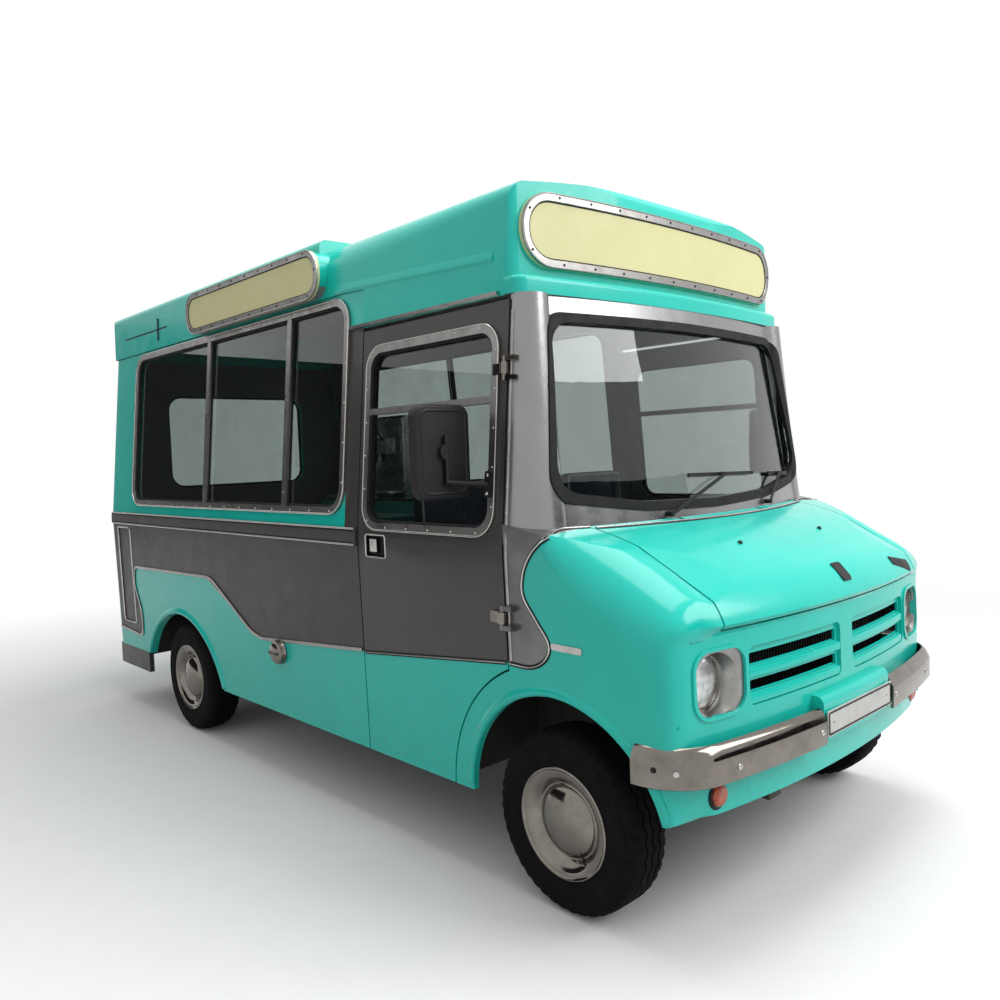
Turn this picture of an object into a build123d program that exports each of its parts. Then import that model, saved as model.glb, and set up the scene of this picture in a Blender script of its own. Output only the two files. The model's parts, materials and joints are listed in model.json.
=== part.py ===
from build123d import *
from math import asin, atan, cos, degrees, sin, sqrt
import os

os.makedirs("parts", exist_ok=True)

# All sizes are millimetres. +X is forward, +Y is the left side, +Z is up.
# The origin is on the ground under the middle of the vehicle.

# Layout along the length
WHEELBASE = 3200.0
FRONT_OVERHANG = 655.0
REAR_OVERHANG = 1215.0
LENGTH = WHEELBASE + FRONT_OVERHANG + REAR_OVERHANG
FRONT_AXLE_X = LENGTH / 2 - FRONT_OVERHANG
REAR_AXLE_X = FRONT_AXLE_X - WHEELBASE
BODY_TAIL = 1170.0
BODY_REAR_X = REAR_AXLE_X - BODY_TAIL
DOOR_REAR_X = FRONT_AXLE_X - 1180.0
DOOR_FRONT_X = FRONT_AXLE_X - 230.0

# Heights of the body lines
SILL_Z = 340.0
TAIL_LOW_Z = 404.0
FLOOR_Z = 520.0
FLOOR_THICK = 30.0
WAIST_Z = 1318.0
DOOR_TOP_Z = 2244.0
HEADER_Z = 2262.0
CANTRAIL_Z = 2446.0
ROOF_TOP_Z = 2746.0

# Cross-section of the body
HALF_WAIST = 1020.0
UPPER_LEAN = 0.095
LOWER_LEAN = 0.02
WALL = 40.0
SKIN = 25.0
REAR_CORNER = 55.0
SEAM = 0.4
OUTSIDE = 1300.0
OVER_Z = 1700.0
UNDER_Z = 100.0
SHUT_GAP = 8.0

# Wheels, tyres and steering
TYRE_RADIUS = 334.0
TYRE_HALF = 98.0
RIM_RADIUS = 182.0
WHEEL_Y = 896.0
KINGPIN_Y = 765.0
STUB_RADIUS = 30.0
BORE_GAP = 0.3
REAR_ARCH_HALF = 563.0
REAR_ARCH_TOP = 731.0
FRONT_ARCH_RADIUS = 462.0
DOOR_ARCH_RADIUS = 578.0

# Nose and bonnet
NOSE_BOW_RADIUS = 4520.0
BUMPER_OUT = 46.0
BUMPER_IN_Y = 282.0
NOSE_X = (
    FRONT_AXLE_X + FRONT_OVERHANG - BUMPER_OUT
    + NOSE_BOW_RADIUS - sqrt(NOSE_BOW_RADIUS**2 - BUMPER_IN_Y**2)
)
NOSE_CORNER = 215.0
CREASE_Z = 1084.0
BONNET_HALF = 768.0
BONNET_REAR_Z = 1388.0
BONNET_REAR_GAP = 13.0
BONNET_PIVOT_X = FRONT_AXLE_X + 72.0
BONNET_PIVOT_Z = 1371.0
BONNET_PIN = 4.0
BONNET_LUG_Y = 300.0

# Windows, as distances along the leaning upper side
SERVE_REAR_X = FRONT_AXLE_X - 3930.0
SERVE_FRONT_X = FRONT_AXLE_X - 1290.0
SERVE_LOW = 94.0
SERVE_HIGH = 1116.0
SERVE_CORNER = 130.0
FRAME_BAND = 38.0
FRAME_PROUD = 14.0
FRAME_LAP = 12.0
DOOR_FRAME_PROUD = 10.0
ACROSS = 90.0
GLASS = 8.0
DOOR_WIN_REAR_X = FRONT_AXLE_X - 1142.0
DOOR_WIN_FRONT_X = FRONT_AXLE_X - 268.0
DOOR_WIN_LOW = 34.0
DOOR_WIN_HIGH = 856.0
DOOR_WIN_CORNER = 110.0

# Signs on the roof
SIGN_REAR_X = FRONT_AXLE_X - 2960.0
SIGN_FRONT_X = FRONT_AXLE_X - 1490.0
SIGN_LOW_Z = 2450.0
SIGN_HIGH_Z = 2676.0
SIGN_Y = 962.0
SIGN_PLATE = 16.0


def half_width(z):
    lean = UPPER_LEAN if z > WAIST_Z else -LOWER_LEAN
    return HALF_WAIST - lean * (z - WAIST_Z)


def slab(x0, x1, y0, y1, z0, z1):
    # an upright box between two values of each axis
    with BuildPart() as block:
        with Locations(((x0 + x1) / 2, (y0 + y1) / 2, (z0 + z1) / 2)):
            Box(x1 - x0, y1 - y0, z1 - z0)
    return block.part


def side_layer(z_low, z_high, x_rear, x_front, depth, proud=0.0):
    # one straight layer of the right side, between two heights
    with BuildPart() as layer:
        with BuildSketch(Plane.YZ.offset(x_rear)):
            with BuildLine():
                Polyline(
                    (-half_width(z_low) - proud, z_low),
                    (-half_width(z_high) - proud, z_high),
                    (-half_width(z_high) + depth, z_high),
                    (-half_width(z_low) + depth, z_low),
                    close=True,
                )
            make_face()
        extrude(amount=x_front - x_rear)
    return layer.part


# The plane of the leaning upper side on the right, with its height measured from the waist
SLOPE = atan(UPPER_LEAN)
RIGHT_UPPER = Plane(
    origin=(0, -HALF_WAIST, WAIST_Z),
    x_dir=(1, 0, 0),
    z_dir=(0, -cos(SLOPE), sin(SLOPE)),
)


RIGHT_LOWER = Plane(
    origin=(0, -HALF_WAIST, WAIST_Z),
    x_dir=(1, 0, 0),
    z_dir=(0, -cos(atan(LOWER_LEAN)), -sin(atan(LOWER_LEAN))),
)


SERVE_WINDOW = (SERVE_REAR_X, SERVE_FRONT_X, SERVE_LOW, SERVE_HIGH, SERVE_CORNER)
DOOR_WINDOW = (DOOR_WIN_REAR_X, DOOR_WIN_FRONT_X, DOOR_WIN_LOW, DOOR_WIN_HIGH, DOOR_WIN_CORNER)


def window_block(window, inset, depth_in, depth_out):
    # a rounded block across the leaning upper side
    x_rear, x_front, low, high, corner = window
    with BuildPart() as block:
        with BuildSketch(RIGHT_UPPER.offset(-depth_in)):
            with Locations(((x_rear + x_front) / 2, (low + high) / 2)):
                RectangleRounded(x_front - x_rear - 2 * inset, high - low - 2 * inset, corner - inset)
        extrude(amount=depth_in + depth_out)
    return block.part


def arch_cut(x, z, radius):
    # a round cut through the right side
    with BuildPart() as cut:
        with BuildSketch(Plane.XZ.offset(600)):
            with Locations((x, z)):
                Circle(radius)
        extrude(amount=600)
    return cut.part


REAR_ARCH_X = REAR_AXLE_X - 50.0
REAR_ARCH_RADIUS = (REAR_ARCH_HALF**2 + (REAR_ARCH_TOP - SILL_Z) ** 2) / (2 * (REAR_ARCH_TOP - SILL_Z))
REAR_ARCH_Z = REAR_ARCH_TOP - REAR_ARCH_RADIUS

# Line of the two-tone wave on the side, as distance behind the front axle and height, with its bend
WAVE_TABLE = (
    (4500.0, 545.0, 0.0),
    (3890.0, 505.0, 70.0),
    (3890.0, 690.0, 150.0),
    (3990.0, 860.0, 150.0),
    (3960.0, 986.0, 60.0),
    (2760.0, 1008.0, 260.0),
    (2230.0, 718.0, 330.0),
    (1195.0, 800.0, 0.0),
)


def wave_points():
    return [(FRONT_AXLE_X - back, height) for back, height, bend in WAVE_TABLE]


def wave_path():
    bends = [bend for back, height, bend in WAVE_TABLE[1:-1]]
    return FilletPolyline(*wave_points(), radius=bends)


with BuildPart() as wave_block:
    with BuildSketch(Plane.XZ.offset(900)):
        with BuildLine():
            wave_path()
            first, last = wave_points()[0], wave_points()[-1]
            Polyline(last, (last[0] + 60, last[1]), (last[0] + 60, 200), (first[0], 200), first)
        make_face()
    extrude(amount=300)

# Recessed panel on each rear quarter
QUARTER_REAR_X = FRONT_AXLE_X - 4235.0
QUARTER_FRONT_X = FRONT_AXLE_X - 4012.0
QUARTER_Z = 920.0
QUARTER_TALL = 670.0
QUARTER_CORNER = 22.0
QUARTER_DEPTH = 6.0

SIDE_REAR_X = BODY_REAR_X + REAR_CORNER
SIDE_FRONT_X = DOOR_REAR_X - SHUT_GAP

with BuildPart() as side_skirt:
    add(side_layer(SILL_Z, WAIST_Z, SIDE_REAR_X, SIDE_FRONT_X, WALL))
    add(wave_block.part, mode=Mode.INTERSECT)
    add(arch_cut(REAR_ARCH_X, REAR_ARCH_Z, REAR_ARCH_RADIUS), mode=Mode.SUBTRACT)
    add(
        slab(BODY_REAR_X, REAR_ARCH_X - REAR_ARCH_HALF / 2, -OUTSIDE, 0, 0, TAIL_LOW_Z),
        mode=Mode.SUBTRACT,
    )
    mirror(about=Plane.XZ)

with BuildPart() as side_lower:
    add(side_layer(SILL_Z, WAIST_Z, SIDE_REAR_X, SIDE_FRONT_X, WALL))
    add(wave_block.part, mode=Mode.SUBTRACT)
    with BuildSketch(RIGHT_LOWER.offset(-QUARTER_DEPTH)):
        with Locations(((QUARTER_REAR_X + QUARTER_FRONT_X) / 2, QUARTER_Z - WAIST_Z)):
            RectangleRounded(QUARTER_FRONT_X - QUARTER_REAR_X, QUARTER_TALL, QUARTER_CORNER)
    extrude(amount=2 * QUARTER_DEPTH, mode=Mode.SUBTRACT)
    mirror(about=Plane.XZ)

with BuildPart() as side_upper:
    add(side_layer(WAIST_Z, CANTRAIL_Z, SIDE_REAR_X, SIDE_FRONT_X, WALL))
    add(window_block(SERVE_WINDOW, FRAME_BAND - FRAME_LAP, ACROSS, ACROSS), mode=Mode.SUBTRACT)
    mirror(about=Plane.XZ)


def tail_section(z):
    # the rear wall with its two rounded corners, cut level
    w = half_width(z)
    r = REAR_CORNER
    i = r - WALL
    d = r * (1 - sqrt(0.5))
    e = WALL + i * (1 - sqrt(0.5))
    x = BODY_REAR_X
    with BuildSketch(Plane.XY.offset(z)) as section:
        with BuildLine():
            ThreePointArc((x + r, -w), (x + d, -w + d), (x, -w + r))
            Line((x, -w + r), (x, w - r))
            ThreePointArc((x, w - r), (x + d, w - d), (x + r, w))
            Line((x + r, w), (x + r, w - WALL))
            ThreePointArc((x + r, w - WALL), (x + e, w - e), (x + WALL, w - r))
            Line((x + WALL, w - r), (x + WALL, -w + r))
            ThreePointArc((x + WALL, -w + r), (x + e, -w + e), (x + r, -w + WALL))
            Line((x + r, -w + WALL), (x + r, -w))
        make_face()
    return section.sketch


REAR_WIN_HALF = 560.0
REAR_WIN_LOW_Z = 1500.0
REAR_WIN_HIGH_Z = 2200.0
REAR_WIN_CORNER = 110.0
REAR_WIN_Z = (REAR_WIN_LOW_Z + REAR_WIN_HIGH_Z) / 2

with BuildPart() as rear_wall:
    loft([tail_section(TAIL_LOW_Z), tail_section(WAIST_Z)], ruled=True)
    loft([tail_section(WAIST_Z), tail_section(CANTRAIL_Z)], ruled=True)
    with BuildSketch(Plane.YZ.offset(BODY_REAR_X - 50)):
        with Locations((0, REAR_WIN_Z)):
            RectangleRounded(2 * REAR_WIN_HALF, REAR_WIN_HIGH_Z - REAR_WIN_LOW_Z, REAR_WIN_CORNER)
    extrude(amount=WALL + 100, mode=Mode.SUBTRACT)

# Roof: plan outline, side outline and the shoulders of the moulded cap
ROOF_FRONT_X = FRONT_AXLE_X - 150.0
ROOF_STEP_X = SIGN_FRONT_X - 60.0
ROOF_BOW_RADIUS = 5900.0
ROOF_CORNER = 60.0
ROOF_LEAN = 14.0
# Shoulder rounding and crown of the cap over the box, at the back of the cab and at the brow
BOX_ROUND = 38.0
BOX_CROWN = 8.0
CAB_ROUND = 180.0
CAB_CROWN = 26.0
BROW_ROUND = 64.0
BROW_CROWN = 50.0
BROW_Z = 2684.0
ROOF_FRONT_ROUND = 90.0
ROOF_TAIL_ROUND = 34.0
LIP_OUT = 46.0
LIP_SIDE = 8.0
LIP_ROUND = 26.0
LIP_LOW_Z = HEADER_Z
LIP_HIGH_Z = 2334.0
LIP_REAR_X = ROOF_FRONT_X - 105.0


def bowed_plan(x_rear, x_front, half, bow, corner, z_low, z_high, rear_corner=0.0):
    # an upright block with a bowed front and rounded front corners
    with BuildPart() as block:
        with BuildSketch(Plane.XY.offset(z_low)):
            with BuildLine():
                sag = bow - sqrt(bow**2 - half**2)
                Polyline(
                    (x_front - sag, -half),
                    (x_rear, -half),
                    (x_rear, half),
                    (x_front - sag, half),
                )
                ThreePointArc((x_front - sag, -half), (x_front, 0), (x_front - sag, half))
            outline = make_face()
            fillet(outline.vertices().group_by(Axis.X)[-1], radius=corner)
            if rear_corner:
                fillet(vertices().group_by(Axis.X)[0], radius=rear_corner)
        extrude(amount=z_high - z_low)
    return block.part


def roof_section(x, round_in, shoulder_z, crown):
    # cross-section of the cap at one station: leaning sides, rounded shoulders, crowned top
    w = half_width(HEADER_Z)
    t = w - ROOF_LEAN
    r = round_in
    k = r * (1 - sqrt(0.5))
    with BuildSketch(Plane.YZ.offset(x)) as section:
        with BuildLine():
            Polyline((-t, shoulder_z - r), (-w, HEADER_Z), (w, HEADER_Z), (t, shoulder_z - r))
            ThreePointArc((t, shoulder_z - r), (t - k, shoulder_z - k), (t - r, shoulder_z))
            ThreePointArc((t - r, shoulder_z), (0, shoulder_z + crown), (-t + r, shoulder_z))
            ThreePointArc((-t + r, shoulder_z), (-t + k, shoulder_z - k), (-t, shoulder_z - r))
        make_face()
    return section.sketch


with BuildPart() as roof_cap:
    extrude(
        roof_section(BODY_REAR_X, BOX_ROUND, ROOF_TOP_Z - BOX_CROWN, BOX_CROWN),
        amount=ROOF_STEP_X - BODY_REAR_X,
        dir=(1, 0, 0),
    )
    loft(
        [
            roof_section(ROOF_STEP_X, CAB_ROUND, ROOF_TOP_Z - CAB_CROWN, CAB_CROWN),
            roof_section(ROOF_FRONT_X, BROW_ROUND, BROW_Z, BROW_CROWN),
        ],
        ruled=True,
    )
    add(
        bowed_plan(
            BODY_REAR_X, ROOF_FRONT_X, half_width(HEADER_Z) + 1, ROOF_BOW_RADIUS,
            ROOF_CORNER, HEADER_Z, ROOF_TOP_Z + 20, REAR_CORNER,
        ),
        mode=Mode.INTERSECT,
    )
    with BuildSketch(Plane.XZ.offset(-OUTSIDE)):
        with BuildLine():
            FilletPolyline(
                (BODY_REAR_X, HEADER_Z), (BODY_REAR_X, ROOF_TOP_Z), (ROOF_FRONT_X, ROOF_TOP_Z),
                (ROOF_FRONT_X, HEADER_Z),
                radius=[ROOF_TAIL_ROUND, ROOF_FRONT_ROUND],
            )
            Line((ROOF_FRONT_X, HEADER_Z), (BODY_REAR_X, HEADER_Z))
        make_face()
    extrude(amount=2 * OUTSIDE, mode=Mode.INTERSECT)

# Hollow under the cap, with bevelled upper corners: rear end, front end, top and bevel
VOID_HALF = half_width(HEADER_Z) - ROOF_LEAN - WALL
VOID_LOW_Z = HEADER_Z - WALL
VOID_TABLE = (
    (BODY_REAR_X + WALL, ROOF_STEP_X - WALL, ROOF_TOP_Z - BOX_CROWN - WALL, 10.0),
    (ROOF_STEP_X - WALL, ROOF_FRONT_X - 3 * WALL, BROW_Z - WALL, 120.0),
)

with BuildPart() as roof_void:
    for x_rear, x_front, top, bevel in VOID_TABLE:
        with BuildSketch(Plane.YZ.offset(x_rear)):
            with BuildLine():
                Polyline(
                    (-VOID_HALF, VOID_LOW_Z), (VOID_HALF, VOID_LOW_Z), (VOID_HALF, top - bevel),
                    (VOID_HALF - bevel, top), (bevel - VOID_HALF, top), (-VOID_HALF, top - bevel),
                    close=True,
                )
            make_face()
        extrude(amount=x_front - x_rear)

with BuildPart() as lip:
    add(
        bowed_plan(
            LIP_REAR_X - 200, ROOF_FRONT_X + LIP_OUT, half_width(HEADER_Z) + LIP_SIDE,
            ROOF_BOW_RADIUS, ROOF_CORNER, LIP_LOW_Z, LIP_HIGH_Z,
        )
    )
    fillet(lip.edges().group_by(Axis.Z)[-1], radius=LIP_ROUND)
    add(slab(LIP_REAR_X - 300, LIP_REAR_X, -OUTSIDE, OUTSIDE, 0, 2 * ROOF_TOP_Z), mode=Mode.SUBTRACT)

SIGN_X = (SIGN_REAR_X + SIGN_FRONT_X) / 2
SIGN_Z = (SIGN_LOW_Z + SIGN_HIGH_Z) / 2
SIGN_LONG = SIGN_FRONT_X - SIGN_REAR_X
SIGN_TALL = SIGN_HIGH_Z - SIGN_LOW_Z

with BuildPart() as roof:
    add(roof_cap.part)
    add(lip.part)
    with BuildSketch(Plane.XZ.offset(SIGN_Y)):
        with Locations((SIGN_X, SIGN_Z)):
            RectangleRounded(SIGN_LONG, SIGN_TALL, 100)
    extrude(amount=-260)
    mirror(about=Plane.XZ)
    add(roof_void.part, mode=Mode.SUBTRACT)
    add(
        slab(BODY_REAR_X - 50, SIDE_FRONT_X, -OUTSIDE, OUTSIDE, 0, CANTRAIL_Z + SEAM),
        mode=Mode.SUBTRACT,
    )

FRONT_SIGN_HALF = 884.0
FRONT_SIGN_LOW_Z = 2368.0
FRONT_SIGN_HIGH_Z = 2652.0
FRONT_SIGN_CORNER = 136.0

with BuildPart() as signs:
    add(
        bowed_plan(
            ROOF_FRONT_X - 300, ROOF_FRONT_X + SIGN_PLATE, half_width(HEADER_Z) + 40,
            ROOF_BOW_RADIUS, ROOF_CORNER, FRONT_SIGN_LOW_Z, FRONT_SIGN_HIGH_Z,
        )
    )
    add(
        bowed_plan(
            ROOF_FRONT_X - 400, ROOF_FRONT_X + SEAM, half_width(HEADER_Z) + 60,
            ROOF_BOW_RADIUS, ROOF_CORNER, FRONT_SIGN_LOW_Z - 10, FRONT_SIGN_HIGH_Z + 10,
        ),
        mode=Mode.SUBTRACT,
    )
    with BuildSketch(Plane.YZ.offset(ROOF_FRONT_X - 500)):
        with Locations((0, (FRONT_SIGN_LOW_Z + FRONT_SIGN_HIGH_Z) / 2)):
            RectangleRounded(
                2 * FRONT_SIGN_HALF, FRONT_SIGN_HIGH_Z - FRONT_SIGN_LOW_Z, FRONT_SIGN_CORNER
            )
    extrude(amount=700, mode=Mode.INTERSECT)
    for side in (-1, 1):
        with BuildSketch(Plane.XZ.offset(-side * (SIGN_Y + SEAM))):
            with Locations((SIGN_X, SIGN_Z)):
                RectangleRounded(SIGN_LONG + 10, SIGN_TALL + 10, 105)
        extrude(amount=-side * SIGN_PLATE)

# Cab front: pillars, header and scuttle round the windscreen
COWL_Z = 1330.0
COWL_X = FRONT_AXLE_X + 54.0
COWL_SAG = 104.0
COWL_REACH = 850.0
TOP_X = FRONT_AXLE_X - 106.0
TOP_SAG = 62.0
TOP_REACH = 790.0
PILLAR_X = DOOR_FRONT_X + SHUT_GAP


def cab_section(z, inset, back):
    # outline of the cab front at one height, drawn in from the outside by the inset
    f = (z - COWL_Z) / (HEADER_Z - COWL_Z)
    cx = COWL_X + f * (TOP_X - COWL_X) - inset
    sag = COWL_SAG + f * (TOP_SAG - COWL_SAG)
    reach = COWL_REACH + f * (TOP_REACH - COWL_REACH) - inset * 0.6
    w = half_width(z) - inset
    ex = cx - sag
    sx = FRONT_AXLE_X - 190.0 - inset * 0.4
    mx = (ex + sx) / 2 + 34.0
    my = (reach + w) / 2 + 34.0
    with BuildSketch(Plane.XY.offset(z)) as section:
        with BuildLine():
            Polyline((sx, -w), (back, -w), (back, w), (sx, w))
            ThreePointArc((sx, w), (mx, my), (ex, reach))
            ThreePointArc((ex, reach), (cx, 0), (ex, -reach))
            ThreePointArc((ex, -reach), (mx, -my), (sx, -w))
        make_face()
    return section.sketch


def cab_block(inset, z_low, z_high, back):
    with BuildPart() as block:
        loft([cab_section(z_low, inset, back), cab_section(z_high, inset, back)], ruled=True)
    return block.part


SCREEN_LOW_Z = 1424.0
SCREEN_CORNER_Z = 1500.0
SCREEN_HIGH_Z = 2184.0
SCREEN_LOW_HALF = 905.0
SCREEN_HIGH_HALF = 818.0
SEAL_OUT = 14.0
SEAL_IN = 24.0
SEAL_PROUD = 7.0


def screen_prism(grow):
    # the windscreen outline seen from the front, grown or shrunk all round
    with BuildPart() as prism:
        with BuildSketch(Plane.YZ.offset(FRONT_AXLE_X - 260)):
            with BuildLine():
                FilletPolyline(
                    (0, SCREEN_LOW_Z - grow),
                    (450, SCREEN_LOW_Z + 14 - grow),
                    (SCREEN_LOW_HALF + grow, SCREEN_CORNER_Z - grow),
                    (SCREEN_HIGH_HALF + grow, SCREEN_HIGH_Z + grow),
                    (0, SCREEN_HIGH_Z + grow + 6),
                    radius=[900, 110, 100],
                )
                mirror(about=Plane.YZ)
            make_face()
        extrude(amount=420)
    return prism.part


CAB_BACK = PILLAR_X
cab_shell_outer = cab_block(0, WAIST_Z + 12, HEADER_Z - SEAM, CAB_BACK)
cab_shell_inner = cab_block(WALL, WAIST_Z - 30, HEADER_Z + 30, CAB_BACK - 100)

HINGE_LOW_Z = 1062.0
HINGE_HIGH_Z = 1985.0
HINGE_X = DOOR_FRONT_X + 4.0
HINGE_OUT = 20.0
HINGE_PIN = 9.0
PIN_HALF = 45.0
LUG_TALL = 18.0
LUG_LONG = 56.0
LUG_DEEP = 46.0
LUG_AHEAD = 24.0
LUG_IN = 18.0
EYE_HALF = 21.0
EYE_WALL = 8.0
LEAF_LONG = 68.0
LEAF_DEEP = 26.0
LEAF_IN = 17.0
HINGE_LEAN = (half_width(HINGE_LOW_Z) - half_width(HINGE_HIGH_Z)) / (HINGE_HIGH_Z - HINGE_LOW_Z)


def hinge_plane(z, side):
    y = half_width(HINGE_LOW_Z) + HINGE_OUT - HINGE_LEAN * (z - HINGE_LOW_Z)
    return Plane(origin=(HINGE_X, side * y, z), x_dir=(1, 0, 0), z_dir=(0, -side * HINGE_LEAN, 1))


def hinge_pins(level, side):
    # the fixed half of a door hinge: a pin between two lugs
    with BuildPart() as half:
        with BuildSketch(hinge_plane(level, side).offset(-PIN_HALF)):
            Circle(HINGE_PIN)
        extrude(amount=2 * PIN_HALF)
        for low in (-PIN_HALF, PIN_HALF - LUG_TALL):
            with BuildSketch(hinge_plane(level, side).offset(low)):
                with Locations((LUG_AHEAD, -side * LUG_IN)):
                    Rectangle(LUG_LONG, LUG_DEEP)
            extrude(amount=LUG_TALL)
    return half.part


with BuildPart() as cab_front:
    add(cab_shell_outer)
    add(cab_shell_inner, mode=Mode.SUBTRACT)
    add(screen_prism(SEAL_OUT), mode=Mode.SUBTRACT)
    for side in (-1, 1):
        add(hinge_pins(HINGE_HIGH_Z, side))
        with BuildSketch(Plane.XZ.offset(side * BONNET_LUG_Y - 6)):
            with Locations((BONNET_PIVOT_X, BONNET_PIVOT_Z)):
                Circle(8)
            with Locations((BONNET_PIVOT_X - 30, BONNET_PIVOT_Z)):
                Rectangle(60, 16)
        extrude(amount=12)
        with Locations((BONNET_PIVOT_X, side * BONNET_LUG_Y, BONNET_PIVOT_Z)):
            Cylinder(BONNET_PIN, 60, rotation=(90, 0, 0))

with BuildPart() as windscreen_glass:
    add(cab_block(14, WAIST_Z + 20, HEADER_Z - 10, CAB_BACK - 60))
    add(cab_block(14 + GLASS, WAIST_Z, HEADER_Z + 10, CAB_BACK - 100), mode=Mode.SUBTRACT)
    add(screen_prism(-SEAL_IN), mode=Mode.INTERSECT)

with BuildPart() as windscreen_seal:
    add(cab_block(-SEAL_PROUD, WAIST_Z + 20, HEADER_Z - 10, CAB_BACK - 60))
    add(cab_block(32, WAIST_Z, HEADER_Z + 10, CAB_BACK - 100), mode=Mode.SUBTRACT)
    add(screen_prism(SEAL_OUT - SEAM), mode=Mode.INTERSECT)
    add(screen_prism(SEAM - SEAL_IN), mode=Mode.SUBTRACT)

# Nose: the bonnet line turned about a far upright axis, the shoulders lofted, the corners rounded
NOSE_AXIS = Axis((NOSE_X - NOSE_BOW_RADIUS, 0, 0), (0, 0, 1))


# Bonnet line from the side: rear end, middle, front edge, turn of the nose, crease and face below it
NOSE_LONG = 760.0
NOSE_HIGH_Z = 1520.0
NOSE_TURN = 17.0
BONNET_REAR_AHEAD = 44.0
BONNET_MID_AHEAD = 290.0
BONNET_MID_Z = 1322.0
BONNET_EDGE_BACK = 116.0
BONNET_EDGE_Z = 1221.0
NOSE_MID_BACK = 42.0
NOSE_MID_Z = 1160.0
CREASE_BACK = 24.0
CREASE_DROP = 34.0
FACE_BACK = 18.0
FACE_Z = 760.0
FOOT_BACK = 28.0


def nose_turned(inset):
    fx = FRONT_AXLE_X
    nx = NOSE_X - inset
    rear = (fx + BONNET_REAR_AHEAD, BONNET_REAR_Z - inset)
    middle = (fx + BONNET_MID_AHEAD, BONNET_MID_Z - inset)
    edge = (nx - BONNET_EDGE_BACK + inset * 0.4, BONNET_EDGE_Z - inset)
    turn = (nx - NOSE_MID_BACK + inset * 0.1, NOSE_MID_Z - inset * 0.6)
    with BuildPart() as body:
        with BuildSketch(Plane.XZ):
            with BuildLine():
                Line((fx - NOSE_LONG, NOSE_HIGH_Z - inset), rear)
                ThreePointArc(rear, middle, edge)
                ThreePointArc(edge, turn, (nx, CREASE_Z))
                Polyline(
                    (nx, CREASE_Z),
                    (nx - CREASE_BACK, CREASE_Z - CREASE_DROP),
                    (nx - FACE_BACK, FACE_Z),
                    (nx - FOOT_BACK, SILL_Z),
                    (fx - NOSE_LONG, SILL_Z),
                    (fx - NOSE_LONG, NOSE_HIGH_Z - inset),
                )
            make_face()
        revolve(axis=NOSE_AXIS, revolution_arc=NOSE_TURN)
        mirror(about=Plane.XZ)
    return body.part


# Stations of the shoulder: distance ahead of the axle, half width, start of the bend, its inner end
SHOULDER_TABLE = (
    (-20.0, half_width(1296.0), 1296.0, 930.0, 1412.0),
    (285.0, 1014.0, 1062.0, 772.0, 1284.0),
    (520.0, 1000.0, 985.0, 790.0, 1150.0),
    (720.0, 992.0, 930.0, 800.0, 1040.0),
)
SHOULDER_PEAK = 160.0
NOSE_FOOT_Z = 200.0
DECK_Z = 1430.0
DECK_LONG = 800.0


def nose_shoulder(inset):
    def section(ahead, w, z_bend, y_in, z_in):
        a = (w - inset, z_bend)
        b = (y_in - inset * 0.3, z_in - inset)
        m = (a[0] - (a[0] - b[0]) * 0.24, a[1] + (b[1] - a[1]) * 0.70)
        with BuildSketch(Plane.YZ.offset(FRONT_AXLE_X + ahead)) as sketch:
            with BuildLine():
                foot = a[0] - LOWER_LEAN * (a[1] - NOSE_FOOT_Z)
                Polyline((-a[0], a[1]), (-foot, NOSE_FOOT_Z), (foot, NOSE_FOOT_Z), a)
                ThreePointArc(a, m, b)
                Polyline(b, (0, b[1] + SHOULDER_PEAK), (-b[0], b[1]))
                ThreePointArc((-b[0], b[1]), (-m[0], m[1]), (-a[0], a[1]))
            make_face()
        return sketch.sketch

    with BuildPart() as body:
        loft([section(*row) for row in SHOULDER_TABLE])
        with BuildSketch(Plane.YZ.offset(FRONT_AXLE_X - DECK_LONG)):
            with BuildLine():
                w = HALF_WAIST - inset
                foot = half_width(NOSE_FOOT_Z) - inset
                Polyline(
                    (-foot, NOSE_FOOT_Z), (foot, NOSE_FOOT_Z), (w, WAIST_Z),
                    (w, DECK_Z), (-w, DECK_Z), (-w, WAIST_Z),
                    close=True,
                )
            make_face()
        extrude(amount=DECK_LONG + SHOULDER_TABLE[0][0])
    return body.part


def nose_block(inset):
    with BuildPart() as block:
        add(nose_turned(inset))
        add(nose_shoulder(inset), mode=Mode.INTERSECT)
        add(
            bowed_plan(
                FRONT_AXLE_X - 900, NOSE_X + 30 - inset, HALF_WAIST + 4 - inset, NOSE_BOW_RADIUS,
                NOSE_CORNER - inset, NOSE_FOOT_Z, OVER_Z,
            ),
            mode=Mode.INTERSECT,
        )
    return block.part


nose_outer = nose_block(0)
nose_inner = nose_block(SKIN)
cab_cut = cab_block(-SEAM, WAIST_Z + 12 - SEAM, HEADER_Z + 30, CAB_BACK - 200)


with BuildPart() as nose_shell:
    add(nose_outer)
    add(nose_inner, mode=Mode.SUBTRACT)
    add(cab_cut, mode=Mode.SUBTRACT)

LAMP_X = FRONT_AXLE_X + 498.0
LAMP_Y = 797.0
LAMP_Z = 890.0
LENS_RADIUS = 86.0
LENS_DOME = 24.0
LENS_SPHERE = (LENS_RADIUS**2 + LENS_DOME**2) / (2 * LENS_DOME)
LENS_MID = sqrt(LENS_SPHERE**2 - LENS_RADIUS**2 / 4) - LENS_SPHERE
BOWL_DEPTH = 34.0
BOWL_RADIUS = 93.0
BOWL_FLARE = 0.48
BEZEL_Y = 770.0
BEZEL_Z = 894.0
BEZEL_WIDE = 230.0
BEZEL_TALL = 212.0
BEZEL_CORNER = 62.0
BEZEL_INSET = 3.0
BEZEL_DEPTH = 100.0
BROW_WIDE = 12.0
BROW_PROUD = 7.0
PANEL_HALF = 642.0
BONNET_LOW_Z = CREASE_Z - 14.0

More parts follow.
